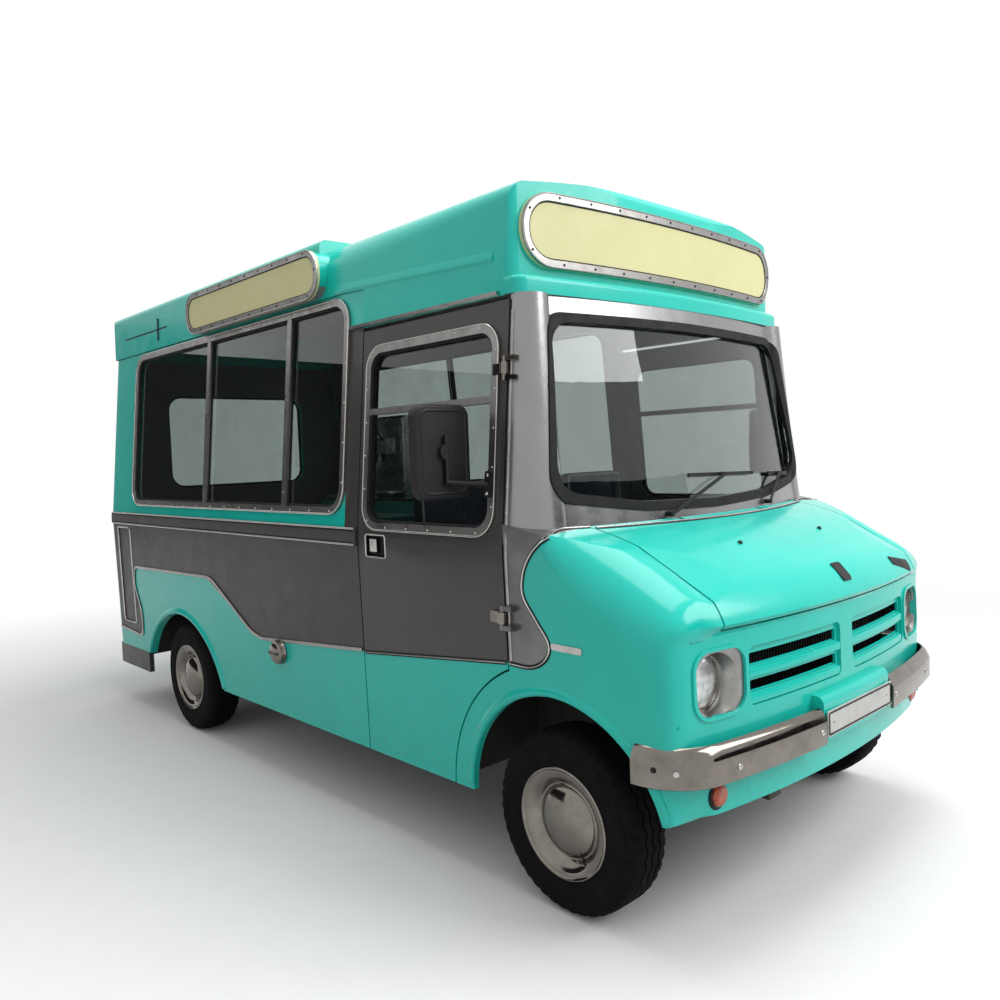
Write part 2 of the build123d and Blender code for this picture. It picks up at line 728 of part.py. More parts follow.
bonnet_rear = cab_block(-BONNET_REAR_GAP, WAIST_Z - 60, HEADER_Z + 30, CAB_BACK - 300)

with BuildPart() as bonnet:
    add(nose_shell.part)
    add(
        slab(FRONT_AXLE_X - 300, NOSE_X + 90, -BONNET_HALF, BONNET_HALF, BONNET_LOW_Z, OVER_Z),
        mode=Mode.INTERSECT,
    )
    add(bonnet_rear, mode=Mode.SUBTRACT)
    add(
        slab(FRONT_AXLE_X - 600, FRONT_AXLE_X - 120, -OUTSIDE, OUTSIDE, 900, OVER_Z),
        mode=Mode.SUBTRACT,
    )
    for side in (-1, 1):
        with Locations((BONNET_PIVOT_X - 13, side * BONNET_LUG_Y, BONNET_PIVOT_Z)):
            Box(50, 24, 80, mode=Mode.SUBTRACT)
        with Locations((BONNET_PIVOT_X, side * BONNET_LUG_Y, BONNET_PIVOT_Z)):
            Cylinder(BONNET_PIN + BORE_GAP, 62, rotation=(90, 0, 0), mode=Mode.SUBTRACT)

VALANCE_Z = 456.0


def bezel_prism(side, grow):
    # the rounded outline of a headlamp surround, grown all round, as a block along the length
    with BuildPart() as prism:
        with BuildSketch(Plane.YZ.offset(LAMP_X - BEZEL_DEPTH)):
            with Locations((side * BEZEL_Y, BEZEL_Z)):
                RectangleRounded(BEZEL_WIDE + 2 * grow, BEZEL_TALL + 2 * grow, BEZEL_CORNER + grow)
        extrude(amount=2 * BEZEL_DEPTH)
    return prism.part


# Raised rim of the wing round each headlamp
with BuildPart() as brows:
    for side in (-1, 1):
        add(bezel_prism(side, BROW_WIDE))
    add(nose_block(-BROW_PROUD), mode=Mode.INTERSECT)
    add(nose_inner, mode=Mode.SUBTRACT)

with BuildPart() as door_side:
    add(slab(FRONT_AXLE_X - 1200, PILLAR_X, -OUTSIDE, OUTSIDE, UNDER_Z, OVER_Z))
    with BuildSketch(Plane.XZ.offset(-OUTSIDE)):
        with Locations((FRONT_AXLE_X, TYRE_RADIUS)):
            Circle(DOOR_ARCH_RADIUS - SHUT_GAP)
    extrude(amount=2 * OUTSIDE, mode=Mode.SUBTRACT)

with BuildPart() as front_wings:
    add(nose_shell.part)
    add(
        slab(
            FRONT_AXLE_X - 300, NOSE_X + 90, -BONNET_HALF - SHUT_GAP, BONNET_HALF + SHUT_GAP,
            BONNET_LOW_Z - SHUT_GAP, OVER_Z,
        ),
        mode=Mode.SUBTRACT,
    )
    add(
        slab(FRONT_AXLE_X - 900, NOSE_X + 90, -PANEL_HALF, PANEL_HALF, UNDER_Z, OVER_Z),
        mode=Mode.SUBTRACT,
    )
    add(door_side.part, mode=Mode.SUBTRACT)
    add(
        slab(FRONT_AXLE_X + 200, NOSE_X + 90, -OUTSIDE, OUTSIDE, UNDER_Z, VALANCE_Z),
        mode=Mode.SUBTRACT,
    )
    add(brows.part)
    for side in (-1, 1):
        add(bezel_prism(side, SEAM), mode=Mode.SUBTRACT)
    with BuildSketch(Plane.XZ.offset(-OUTSIDE)):
        with Locations((FRONT_AXLE_X, TYRE_RADIUS)):
            Circle(FRONT_ARCH_RADIUS)
    extrude(amount=2 * OUTSIDE, mode=Mode.SUBTRACT)
    for side in (-1, 1):
        add(hinge_pins(HINGE_LOW_Z, side))

# Front panel: two grille halves, each a shallow recess with two slots over sloping slats
GRILLE_IN = 50.0
GRILLE_OUT = 629.0
GRILLE_LOW_Z = 786.0
GRILLE_HIGH_Z = 988.0
GRILLE_CORNER = 26.0
GRILLE_DEPTH = 14.0
SLOT_EDGE = 17.0
SLOT_CORNER = 9.0
SLOT_TABLE = (
    (825.0, 868.0),
    (916.0, 962.0),
)
# Section of the slat under a slot: place from the bow of the nose, and height from the slot
SLAT_TABLE = ((-48.0, 5.0), (-24.0, -8.0), (-22.0, -12.0), (-22.0, -34.0), (-48.0, -34.0))
PANEL_BACK_X = FRONT_AXLE_X + 300.0
CENTRE_HALF = BUMPER_IN_Y - 7.0
CENTRE_OUT = 28.0
CENTRE_LOW_Z = 590.0
CENTRE_HIGH_Z = 752.0
CENTRE_ROUND = 30.0


def grille_prism(side, edge, z_low, z_high, corner):
    with BuildPart() as prism:
        with BuildSketch(Plane.YZ.offset(PANEL_BACK_X)):
            with Locations((side * (GRILLE_IN + GRILLE_OUT) / 2, (z_low + z_high) / 2)):
                RectangleRounded(GRILLE_OUT - GRILLE_IN - 2 * edge, z_high - z_low, corner)
        extrude(amount=NOSE_X - PANEL_BACK_X + BUMPER_OUT)
    return prism.part


with BuildPart() as grille_recess:
    for side in (-1, 1):
        add(grille_prism(side, 0, GRILLE_LOW_Z, GRILLE_HIGH_Z, GRILLE_CORNER))
    add(nose_block(GRILLE_DEPTH), mode=Mode.SUBTRACT)

with BuildPart() as slats:
    for first in (-GRILLE_OUT, GRILLE_IN):
        start = asin(first / NOSE_BOW_RADIUS)
        turned = asin((first + GRILLE_OUT - GRILLE_IN) / NOSE_BOW_RADIUS) - start
        radial = Plane(
            origin=NOSE_AXIS.position,
            x_dir=(cos(start), sin(start), 0),
            z_dir=(sin(start), -cos(start), 0),
        )
        for slot_low, slot_high in SLOT_TABLE:
            with BuildSketch(radial):
                with BuildLine():
                    Polyline(
                        *[(NOSE_BOW_RADIUS + place, slot_low + height) for place, height in SLAT_TABLE],
                        close=True,
                    )
                make_face()
            revolve(axis=NOSE_AXIS, revolution_arc=degrees(turned))

with BuildPart() as centre_bar:
    add(
        bowed_plan(
            PANEL_BACK_X, NOSE_X + CENTRE_OUT, GRILLE_OUT, NOSE_BOW_RADIUS, CENTRE_ROUND,
            CENTRE_LOW_Z, CENTRE_HIGH_Z,
        )
    )
    fillet(centre_bar.edges().group_by(Axis.Z)[-1], radius=CENTRE_ROUND)
    add(
        slab(NOSE_X - 2 * SKIN, NOSE_X + 2 * BUMPER_OUT, -CENTRE_HALF, CENTRE_HALF, 0, CENTRE_HIGH_Z),
        mode=Mode.INTERSECT,
    )

with BuildPart() as front_panel:
    add(nose_shell.part)
    add(
        slab(
            PANEL_BACK_X, NOSE_X + 90, SEAM - PANEL_HALF, PANEL_HALF - SEAM, VALANCE_Z,
            BONNET_LOW_Z - SHUT_GAP,
        ),
        mode=Mode.INTERSECT,
    )
    add(grille_recess.part, mode=Mode.SUBTRACT)
    for side in (-1, 1):
        for slot_low, slot_high in SLOT_TABLE:
            add(grille_prism(side, SLOT_EDGE, slot_low, slot_high, SLOT_CORNER), mode=Mode.SUBTRACT)
    add(slats.part)
    add(centre_bar.part)

# Headlamps: a surround flush with the nose, a flared bowl and a domed lens
with BuildPart() as headlamps:
    for side in (-1, 1):
        add(bezel_prism(side, 0))
    add(nose_block(BEZEL_INSET), mode=Mode.INTERSECT)
    for side in (-1, 1):
        lamp = Plane(origin=(LAMP_X, side * LAMP_Y, LAMP_Z), x_dir=(1, 0, 0), z_dir=(0, -1, 0))
        axis = Axis((LAMP_X, side * LAMP_Y, LAMP_Z), (1, 0, 0))
        with BuildSketch(lamp):
            with BuildLine():
                Polyline(
                    (-BOWL_DEPTH, 0), (-BOWL_DEPTH, BOWL_RADIUS - 3), (0, BOWL_RADIUS),
                    (BEZEL_DEPTH, BOWL_RADIUS + BOWL_FLARE * BEZEL_DEPTH), (BEZEL_DEPTH, 0),
                    close=True,
                )
            make_face()
        revolve(axis=axis, mode=Mode.SUBTRACT)
        with BuildSketch(lamp):
            with BuildLine():
                Polyline(
                    (0, 0), (-BOWL_DEPTH - 2, 0), (-BOWL_DEPTH - 2, LENS_RADIUS),
                    (-LENS_DOME, LENS_RADIUS),
                )
                ThreePointArc((-LENS_DOME, LENS_RADIUS), (LENS_MID, LENS_RADIUS / 2), (0, 0))
            make_face()
        revolve(axis=axis)

BUMPER_LOW_Z = 584.0
BUMPER_HIGH_Z = 714.0
BUMPER_THICK = 14.0

BUMPER_ROUND = 16.0
BUMPER_WRAP_X = FRONT_AXLE_X + 345.0
BRACKET_Y = 460.0

with BuildPart() as front_bumper:
    add(
        bowed_plan(
            FRONT_AXLE_X, NOSE_X + BUMPER_OUT, HALF_WAIST + 14, NOSE_BOW_RADIUS, NOSE_CORNER + 10,
            BUMPER_LOW_Z, BUMPER_HIGH_Z,
        )
    )
    fillet(front_bumper.edges().group_by(Axis.Z)[0], radius=BUMPER_ROUND)
    fillet(front_bumper.edges().group_by(Axis.Z)[-1], radius=BUMPER_ROUND)
    add(
        bowed_plan(
            FRONT_AXLE_X - 400, NOSE_X + BUMPER_OUT - BUMPER_THICK, HALF_WAIST + 14 - BUMPER_THICK,
            NOSE_BOW_RADIUS, NOSE_CORNER - 4, BUMPER_LOW_Z - 10, BUMPER_HIGH_Z + 10,
        ),
        mode=Mode.SUBTRACT,
    )
    for side in (-1, 1):
        with Locations((BUMPER_WRAP_X + 200, side * BRACKET_Y, (BUMPER_LOW_Z + BUMPER_HIGH_Z) / 2)):
            Box(200, 60, 80)
    add(nose_outer, mode=Mode.SUBTRACT)
    add(slab(0, BUMPER_WRAP_X, -OUTSIDE, OUTSIDE, 0, BUMPER_HIGH_Z), mode=Mode.SUBTRACT)
    add(slab(0, NOSE_X + 200, -BUMPER_IN_Y, BUMPER_IN_Y, 0, BUMPER_HIGH_Z), mode=Mode.SUBTRACT)

# Rear bumper: a band round the tail under the body, on two brackets below the rails
REAR_BAND_LOW_Z = 264.0
REAR_BAND_HIGH_Z = 402.0
REAR_BAND_THICK = 30.0
REAR_BAND_CORNER = 72.0
REAR_BAND_HALF = half_width((REAR_BAND_LOW_Z + REAR_BAND_HIGH_Z) / 2)
REAR_BAND_X = REAR_AXLE_X - REAR_OVERHANG
REAR_RETURN_X = REAR_ARCH_X - REAR_ARCH_HALF - 16.0
RAIL_IN = 380.0
RAIL_OUT = 460.0
RAIL_LOW_Z = 400.0


def both_sides(x0, x1, y_in, y_out, z0, z1):
    # two equal boxes, one on each side
    with BuildPart() as pair:
        add(slab(x0, x1, y_in, y_out, z0, z1))
        add(slab(x0, x1, -y_out, -y_in, z0, z1))
    return pair.part


with BuildPart() as rear_bumper:
    add(
        slab(
            REAR_BAND_X, REAR_RETURN_X, -REAR_BAND_HALF, REAR_BAND_HALF,
            REAR_BAND_LOW_Z, REAR_BAND_HIGH_Z,
        )
    )
    fillet(rear_bumper.edges().filter_by(Axis.Z).group_by(Axis.X)[0], radius=REAR_BAND_CORNER)
    add(
        slab(
            REAR_BAND_X + REAR_BAND_THICK, REAR_RETURN_X, REAR_BAND_THICK - REAR_BAND_HALF,
            REAR_BAND_HALF - REAR_BAND_THICK, REAR_BAND_LOW_Z, REAR_BAND_HIGH_Z,
        ),
        mode=Mode.SUBTRACT,
    )
    add(
        both_sides(
            REAR_BAND_X + REAR_BAND_THICK / 2, BODY_REAR_X + 3 * WALL, RAIL_IN, RAIL_OUT,
            RAIL_LOW_Z - 70, RAIL_LOW_Z - SEAM,
        )
    )

PLATE_HALF = 270.0
PLATE_TALL = 94.0
PLATE_THICK = 5.0
PLATE_X = FRONT_AXLE_X + 651.0
PLATE_Z = 653.0

with BuildPart() as number_plate:
    with Locations((PLATE_X - PLATE_THICK / 2, 0, PLATE_Z)):
        Box(PLATE_THICK, 2 * PLATE_HALF, PLATE_TALL)

INDICATOR_Y = 784.0
INDICATOR_Z = 520.0
INDICATOR_RADIUS = 40.0
INDICATOR_BACK_X = FRONT_AXLE_X + 470.0
INDICATOR_LONG = 70.0
REAR_LAMP_Y = 830.0
REAR_LAMP_Z = 760.0
REAR_LAMP_WIDE = 110.0
REAR_LAMP_TALL = 240.0
REAR_LAMP_CORNER = 24.0
REAR_LAMP_DEEP = 34.0

with BuildPart() as lamps:
    for side in (-1, 1):
        with BuildSketch(Plane.YZ.offset(INDICATOR_BACK_X)):
            with Locations((side * INDICATOR_Y, INDICATOR_Z)):
                Circle(INDICATOR_RADIUS)
        extrude(amount=INDICATOR_LONG)
        fillet(lamps.edges().group_by(Axis.X)[-1], radius=INDICATOR_RADIUS / 2)
        with BuildSketch(Plane.YZ.offset(BODY_REAR_X - REAR_LAMP_DEEP)):
            with Locations((side * REAR_LAMP_Y, REAR_LAMP_Z)):
                RectangleRounded(REAR_LAMP_WIDE, REAR_LAMP_TALL, REAR_LAMP_CORNER)
        extrude(amount=REAR_LAMP_DEEP - SEAM)
    add(nose_outer, mode=Mode.SUBTRACT)

# Brightwork: waist mouldings, drip rails, wave beads and the filler cap
MOULD_LOW_Z = 1278.0
MOULD_HIGH_Z = 1360.0
MOULD_PROUD = 12.0
BEAD_WIDTH = 16.0
BEAD_PROUD = 6.0
FILLER_X = FRONT_AXLE_X - 1968.0
FILLER_Z = 679.0
FILLER_RADIUS = 60.0
FILLER_DEEP = 30.0
DRIP_REAR_X = FRONT_AXLE_X - 1272.0
DRIP_FRONT_X = FRONT_AXLE_X - 280.0
DRIP_OUT = 22.0
DRIP_LIFT = 2.0
DRIP_TALL = 14.0

with BuildPart() as bead:
    with BuildSketch(Plane.XZ.offset(900)):
        with BuildLine() as bead_line:
            wave_path()
        trace(bead_line.line, line_width=BEAD_WIDTH)
    extrude(amount=300)
    add(
        side_layer(SILL_Z, WAIST_Z - 60, SIDE_REAR_X, SIDE_FRONT_X, -SEAM, BEAD_PROUD),
        mode=Mode.INTERSECT,
    )

with BuildPart() as brightwork:
    add(side_layer(MOULD_LOW_Z, WAIST_Z, SIDE_REAR_X, SIDE_FRONT_X, -SEAM, MOULD_PROUD))
    add(side_layer(WAIST_Z, MOULD_HIGH_Z, SIDE_REAR_X, SIDE_FRONT_X, -SEAM, MOULD_PROUD))
    add(bead.part)
    add(
        slab(
            DRIP_REAR_X, DRIP_FRONT_X, -half_width(HEADER_Z) - DRIP_OUT, -half_width(HEADER_Z) - SEAM,
            HEADER_Z + DRIP_LIFT, HEADER_Z + DRIP_LIFT + DRIP_TALL,
        )
    )
    mirror(about=Plane.XZ)
    with BuildSketch(RIGHT_LOWER.offset(SEAM)):
        with Locations((FILLER_X, FILLER_Z - WAIST_Z)):
            Circle(FILLER_RADIUS)
    extrude(amount=FILLER_DEEP)

MULLION_TABLE = (2783.0, 1844.0)
MULLION_WIDE = 42.0

with BuildPart() as serving_frames:
    add(window_block(SERVE_WINDOW, 0, -SEAM, FRAME_PROUD))
    add(window_block(SERVE_WINDOW, FRAME_BAND, ACROSS, ACROSS), mode=Mode.SUBTRACT)
    for back in MULLION_TABLE:
        with BuildSketch(RIGHT_UPPER):
            with Locations((FRONT_AXLE_X - back, (SERVE_LOW + SERVE_HIGH) / 2)):
                Rectangle(MULLION_WIDE, SERVE_HIGH - SERVE_LOW - FRAME_BAND)
        extrude(amount=FRAME_PROUD - 2)
    mirror(about=Plane.XZ)

PANE_INSET = 10.0
REAR_WIN_TALL = REAR_WIN_HIGH_Z - REAR_WIN_LOW_Z

with BuildPart() as body_glass:
    add(window_block(SERVE_WINDOW, FRAME_BAND - FRAME_LAP + SEAM, PANE_INSET + GLASS, -PANE_INSET))
    mirror(about=Plane.XZ)
    with BuildSketch(Plane.YZ.offset(BODY_REAR_X + PANE_INSET)):
        with Locations((0, REAR_WIN_Z)):
            RectangleRounded(2 * REAR_WIN_HALF - 2 * SEAM, REAR_WIN_TALL - 2 * SEAM, REAR_WIN_CORNER)
    extrude(amount=GLASS)

# Cab doors
DOOR_FLOOR_GAP = 12.0

DOOR_BAR_RISE = 560.0
DOOR_BAR_TALL = 28.0
DOOR_PANE_INSET = 16.0
HANDLE_X = FRONT_AXLE_X - 1045.0
HANDLE_Z = 1284.0
HANDLE_WIDE = 154.0
HANDLE_TALL = 106.0
HANDLE_DEPTH = 24.0
HANDLE_CORNER = 10.0

with BuildPart() as door_right:
    add(side_layer(SILL_Z, WAIST_Z, DOOR_REAR_X, DOOR_FRONT_X, WALL))
    add(side_layer(WAIST_Z, DOOR_TOP_Z, DOOR_REAR_X, DOOR_FRONT_X, WALL))
    add(arch_cut(FRONT_AXLE_X, TYRE_RADIUS, DOOR_ARCH_RADIUS), mode=Mode.SUBTRACT)
    add(window_block(DOOR_WINDOW, 0, FRAME_LAP, DOOR_FRAME_PROUD))
    add(window_block(DOOR_WINDOW, FRAME_BAND, ACROSS, ACROSS), mode=Mode.SUBTRACT)
    with BuildSketch(RIGHT_UPPER.offset(-FRAME_LAP)):
        with Locations(((DOOR_WIN_REAR_X + DOOR_WIN_FRONT_X) / 2, DOOR_BAR_RISE)):
            Rectangle(DOOR_WIN_FRONT_X - DOOR_WIN_REAR_X - FRAME_BAND, DOOR_BAR_TALL)
    extrude(amount=FRAME_LAP + DOOR_FRAME_PROUD / 2)
    with BuildSketch(Plane.XZ.offset(HALF_WAIST - HANDLE_DEPTH)):
        with Locations((HANDLE_X, HANDLE_Z)):
            RectangleRounded(HANDLE_WIDE, HANDLE_TALL, HANDLE_CORNER)
    extrude(amount=2 * HANDLE_DEPTH, mode=Mode.SUBTRACT)
    with BuildSketch(Plane.XZ.offset(HALF_WAIST - HANDLE_DEPTH)):
        with Locations((HANDLE_X - HANDLE_WIDE / 6, HANDLE_Z)):
            Rectangle(HANDLE_WIDE / 3, HANDLE_TALL * 0.62)
    extrude(amount=HANDLE_DEPTH * 0.7)
    for level in (HINGE_LOW_Z, HINGE_HIGH_Z):
        with BuildSketch(hinge_plane(level, -1).offset(-EYE_HALF)):
            Circle(HINGE_PIN + EYE_WALL)
            with Locations((-LEAF_LONG / 2, LEAF_IN)):
                Rectangle(LEAF_LONG, LEAF_DEEP)
        extrude(amount=2 * EYE_HALF)
        with BuildSketch(hinge_plane(level, -1).offset(-EYE_HALF)):
            Circle(HINGE_PIN + BORE_GAP)
        extrude(amount=2 * EYE_HALF, mode=Mode.SUBTRACT)

with BuildPart() as door_left:
    mirror(door_right.part, about=Plane.XZ)

with BuildPart() as door_glass_right:
    add(window_block(DOOR_WINDOW, FRAME_BAND + SEAM, DOOR_PANE_INSET + GLASS, -DOOR_PANE_INSET))

with BuildPart() as door_glass_left:
    mirror(door_glass_right.part, about=Plane.XZ)

# Mirrors on bent stalks
MIRROR_X = FRONT_AXLE_X - 390.0
MIRROR_Y = 1161.0
MIRROR_Z = 1684.0
MIRROR_WIDE = 256.0
MIRROR_TALL = 350.0
MIRROR_THICK = 44.0
MIRROR_CORNER = 46.0
MIRROR_ROUND = 12.0
STALK_RADIUS = 8.0
STALK_X = MIRROR_X + MIRROR_THICK / 2 + 12.0
KNEE_Z = MIRROR_Z - 112.0
ARM_X = FRONT_AXLE_X - 290.0
ARM_RISE = 238.0


def rod(start, end, radius):
    # a round bar between two points
    along = end - start
    with BuildPart() as bar:
        with BuildSketch(Plane(origin=start, z_dir=along)):
            Circle(radius)
        extrude(amount=along.length)
    return bar.part


with BuildPart() as mirror_right:
    with BuildSketch(Plane.YZ.offset(MIRROR_X - MIRROR_THICK / 2)):
        with Locations((-MIRROR_Y, MIRROR_Z)):
            RectangleRounded(MIRROR_WIDE, MIRROR_TALL, MIRROR_CORNER)
    extrude(amount=MIRROR_THICK)
    fillet(mirror_right.edges().group_by(Axis.X)[-1], radius=MIRROR_ROUND)
    with BuildSketch(RIGHT_UPPER.offset(DOOR_FRAME_PROUD + SEAM)):
        with Locations((ARM_X, ARM_RISE)):
            RectangleRounded(32, 100, 8)
    extrude(amount=18)
    knee = Vector(STALK_X, -MIRROR_Y, KNEE_Z)
    add(rod(RIGHT_UPPER.offset(20).from_local_coords(Vector(ARM_X, ARM_RISE, 0)), knee, STALK_RADIUS))
    add(rod(knee, Vector(STALK_X, -MIRROR_Y, MIRROR_Z + 62), STALK_RADIUS))
    add(rod(Vector(MIRROR_X, -MIRROR_Y, MIRROR_Z), Vector(STALK_X + 4, -MIRROR_Y, MIRROR_Z), 30))
    with Locations(knee):
        Sphere(STALK_RADIUS + 3)

with BuildPart() as mirror_left:
    mirror(mirror_right.part, about=Plane.XZ)

# Wipers: places across and heights of pivot, blade middle and the two blade ends
WIPER_TABLE = (
    (-342.0, 1404.0, 79.0, 1547.0, -173.0, 1552.0, 348.0, 1541.0),
    (439.0, 1404.0, 626.0, 1528.0, 516.0, 1532.0, 770.0, 1522.0),
)
SPINDLE_RADIUS = 10.0
BLADE_OUT = 3.0
ARM_OUT = 18.0
PIVOT_OUT = 28.0


def on_screen(y, z, out):
    # a point some way ahead of the cab front
    f = (z - COWL_Z) / (HEADER_Z - COWL_Z)
    sag = COWL_SAG + f * (TOP_SAG - COWL_SAG)
    reach = COWL_REACH + f * (TOP_REACH - COWL_REACH)
    bow = (reach**2 + sag**2) / (2 * sag)
    return Vector(COWL_X + f * (TOP_X - COWL_X) - bow + sqrt(bow**2 - y**2) + out, y, z)


def flat_bar(start, end, wide, thick):
    # a flat bar between two points on the screen
    along = end - start
    with BuildPart() as bar:
        with BuildSketch(Plane(origin=start, x_dir=along.cross(Vector(1, 0, 0)), z_dir=along)):
            Rectangle(wide, thick)
        extrude(amount=along.length)
    return bar.part


with BuildPart() as cowl_cut:
    add(cab_cut)
    add(screen_prism(SEAL_OUT), mode=Mode.SUBTRACT)

with BuildPart() as wipers:
    for pivot_y, pivot_z, mid_y, mid_z, in_y, in_z, out_y, out_z in WIPER_TABLE:
        pivot = on_screen(pivot_y, pivot_z, PIVOT_OUT)
        mid = on_screen(mid_y, mid_z, ARM_OUT)
        add(rod(on_screen(pivot_y, pivot_z, -SPINDLE_RADIUS), pivot + Vector(6, 0, 0), SPINDLE_RADIUS))
        add(flat_bar(pivot, mid, 14, 7))
        add(flat_bar(on_screen(in_y, in_z, BLADE_OUT), on_screen(out_y, out_z, BLADE_OUT), 16, 9))
        add(rod(on_screen(mid_y, mid_z, -6), mid + Vector(5, 0, 0), SPINDLE_RADIUS - 1))
    add(cowl_cut.part, mode=Mode.SUBTRACT)

# Wheels and tyres
WHEEL_TABLE = (
    ("front_right", FRONT_AXLE_X, -1),
    ("front_left", FRONT_AXLE_X, 1),
    ("rear_right", REAR_AXLE_X, -1),
    ("rear_left", REAR_AXLE_X, 1),
)
TRIM_RADIUS = 207.0
HUB_DEPTH = 30.0
# Half of the tyre section, as distance from its middle and radius
TYRE_TABLE = ((66.0, TYRE_RADIUS), (88.0, 316.0), (TYRE_HALF, 250.0), (86.0, RIM_RADIUS))
# Wheel section from the hub bore round the rim to the cap, as distance outwards and radius
RIM_FIT = RIM_RADIUS - BORE_GAP
STUB_FIT = STUB_RADIUS + BORE_GAP
WHEEL_SECTION = (
    (HUB_DEPTH, 0.0), (HUB_DEPTH, STUB_FIT), (-20.0, STUB_FIT), (-20.0, 72.0), (38.0, 138.0),
    (-84.0, 162.0), (-84.0, RIM_FIT), (86.0, RIM_FIT), (98.0, TRIM_RADIUS - 6.0), (94.0, 156.0),
    (60.0, 144.0), (58.0, 116.0), (86.0, 88.0), (100.0, 0.0),
)
wheel_pieces = []

for place, axle_x, side in WHEEL_TABLE:
    hub = Plane(origin=(axle_x, side * WHEEL_Y, TYRE_RADIUS), x_dir=(0, side, 0), z_dir=(side, 0, 0))
    turn = Axis((axle_x, side * WHEEL_Y, TYRE_RADIUS), (0, 1, 0))
    with BuildPart() as tyre:
        with BuildSketch(hub):
            with BuildLine():
                inner = [(-out, radius) for out, radius in reversed(TYRE_TABLE)]
                Polyline(*inner, *TYRE_TABLE, close=True)
            make_face()
        revolve(axis=turn)
    with BuildPart() as wheel:
        with BuildSketch(hub):
            with BuildLine():
                Polyline(*WHEEL_SECTION, close=True)
            make_face()
        revolve(axis=turn)
    wheel_pieces.append((tyre, "tyre_" + place))
    wheel_pieces.append((wheel, "wheel_" + place))

# Front suspension, knuckles and rear axle
ARM_LIFT = 100.0
ARM_THICK = 24.0
ARM_ROOT = 118.0
ARM_TIP = 30.0
ARM_ROOT_Y = 510.0
ARM_EYE = 34.0
PIN_RADIUS = 22.0
BEAM_HALF = 70.0
BEAM_LOW_Z = 226.0
BEAM_HIGH_Z = 330.0
TOWER_HALF = 120.0
TOWER_OUT_Y = 520.0
TOWER_LOW_Z = 222.0

with BuildPart() as front_suspension:
    add(
        slab(
            FRONT_AXLE_X - BEAM_HALF, FRONT_AXLE_X + BEAM_HALF, -TOWER_OUT_Y, TOWER_OUT_Y,
            BEAM_LOW_Z, BEAM_HIGH_Z,
        )
    )
    add(
        both_sides(
            FRONT_AXLE_X - TOWER_HALF, FRONT_AXLE_X + TOWER_HALF, RAIL_OUT, TOWER_OUT_Y,
            TOWER_LOW_Z, FLOOR_Z - 10,
        )
    )
    for side in (-1, 1):
        for level in (-1, 1):
            with BuildSketch(Plane.XY.offset(TYRE_RADIUS + level * ARM_LIFT - ARM_THICK / 2)):
                with BuildLine():
                    Polyline(
                        (FRONT_AXLE_X - ARM_ROOT, side * ARM_ROOT_Y),
                        (FRONT_AXLE_X + ARM_ROOT, side * ARM_ROOT_Y),
                        (FRONT_AXLE_X + ARM_TIP, side * KINGPIN_Y),
                        (FRONT_AXLE_X - ARM_TIP, side * KINGPIN_Y),
                        close=True,
                    )
                make_face()
                with Locations((FRONT_AXLE_X, side * KINGPIN_Y)):
                    Circle(ARM_EYE)
                    Circle(PIN_RADIUS + BORE_GAP, mode=Mode.SUBTRACT)
            extrude(amount=ARM_THICK)

UPRIGHT_LONG = 70.0
UPRIGHT_DEEP = 60.0
STUB_SHORT = 6.0
DRUM_RADIUS = 126.0
DRUM_BACK = 76.0
DRUM_LONG = 48.0
TRACK_ARM_BACK = 160.0
TRACK_ARM_HALF = 14.0
TRACK_ARM_LOW = 70.0
TRACK_ARM_HIGH = 46.0

knuckles = []
for side, place in ((-1, "right"), (1, "left")):
    with BuildPart() as knuckle:
        with Locations((FRONT_AXLE_X, side * KINGPIN_Y, TYRE_RADIUS)):
            Cylinder(PIN_RADIUS, 2 * ARM_LIFT + ARM_THICK + 16)
            Box(UPRIGHT_LONG, UPRIGHT_DEEP, 2 * ARM_LIFT - ARM_THICK - 14)
        with BuildSketch(Plane.XZ.offset(-side * KINGPIN_Y)):
            with Locations((FRONT_AXLE_X, TYRE_RADIUS)):
                Circle(STUB_RADIUS)
        extrude(amount=-side * (WHEEL_Y - KINGPIN_Y + HUB_DEPTH - STUB_SHORT))
        with BuildSketch(Plane.XZ.offset(-side * (WHEEL_Y - DRUM_BACK))):
            with Locations((FRONT_AXLE_X, TYRE_RADIUS)):
                Circle(DRUM_RADIUS)
        extrude(amount=-side * DRUM_LONG)
        add(
            slab(
                FRONT_AXLE_X - TRACK_ARM_BACK, FRONT_AXLE_X,
                side * KINGPIN_Y - TRACK_ARM_HALF, side * KINGPIN_Y + TRACK_ARM_HALF,
                TYRE_RADIUS - TRACK_ARM_LOW, TYRE_RADIUS - TRACK_ARM_HIGH,
            )
        )
    knuckles.append((knuckle, "knuckle_" + place))

AXLE_RADIUS = 44.0
AXLE_SHORT = 30.0
DIFF_RADIUS = 128.0
DIFF_LONG = 190.0
PINION_RADIUS = 60.0
PINION_LONG = 140.0
PINION_AHEAD = 150.0

with BuildPart() as rear_axle:
    with Locations((REAR_AXLE_X, 0, TYRE_RADIUS)):
        Cylinder(AXLE_RADIUS, 2 * (WHEEL_Y - AXLE_SHORT), rotation=(90, 0, 0))
        Cylinder(STUB_RADIUS, 2 * (WHEEL_Y + HUB_DEPTH - STUB_SHORT), rotation=(90, 0, 0))
        Cylinder(DIFF_RADIUS, DIFF_LONG, rotation=(90, 0, 0))
        for side in (-1, 1):
            with Locations((0, side * (WHEEL_Y - DRUM_BACK + DRUM_LONG / 2), 0)):
                Cylinder(DRUM_RADIUS, DRUM_LONG, rotation=(90, 0, 0))
    with Locations((REAR_AXLE_X + PINION_AHEAD, 0, TYRE_RADIUS)):
        Cylinder(PINION_RADIUS, PINION_LONG, rotation=(0, 90, 0))

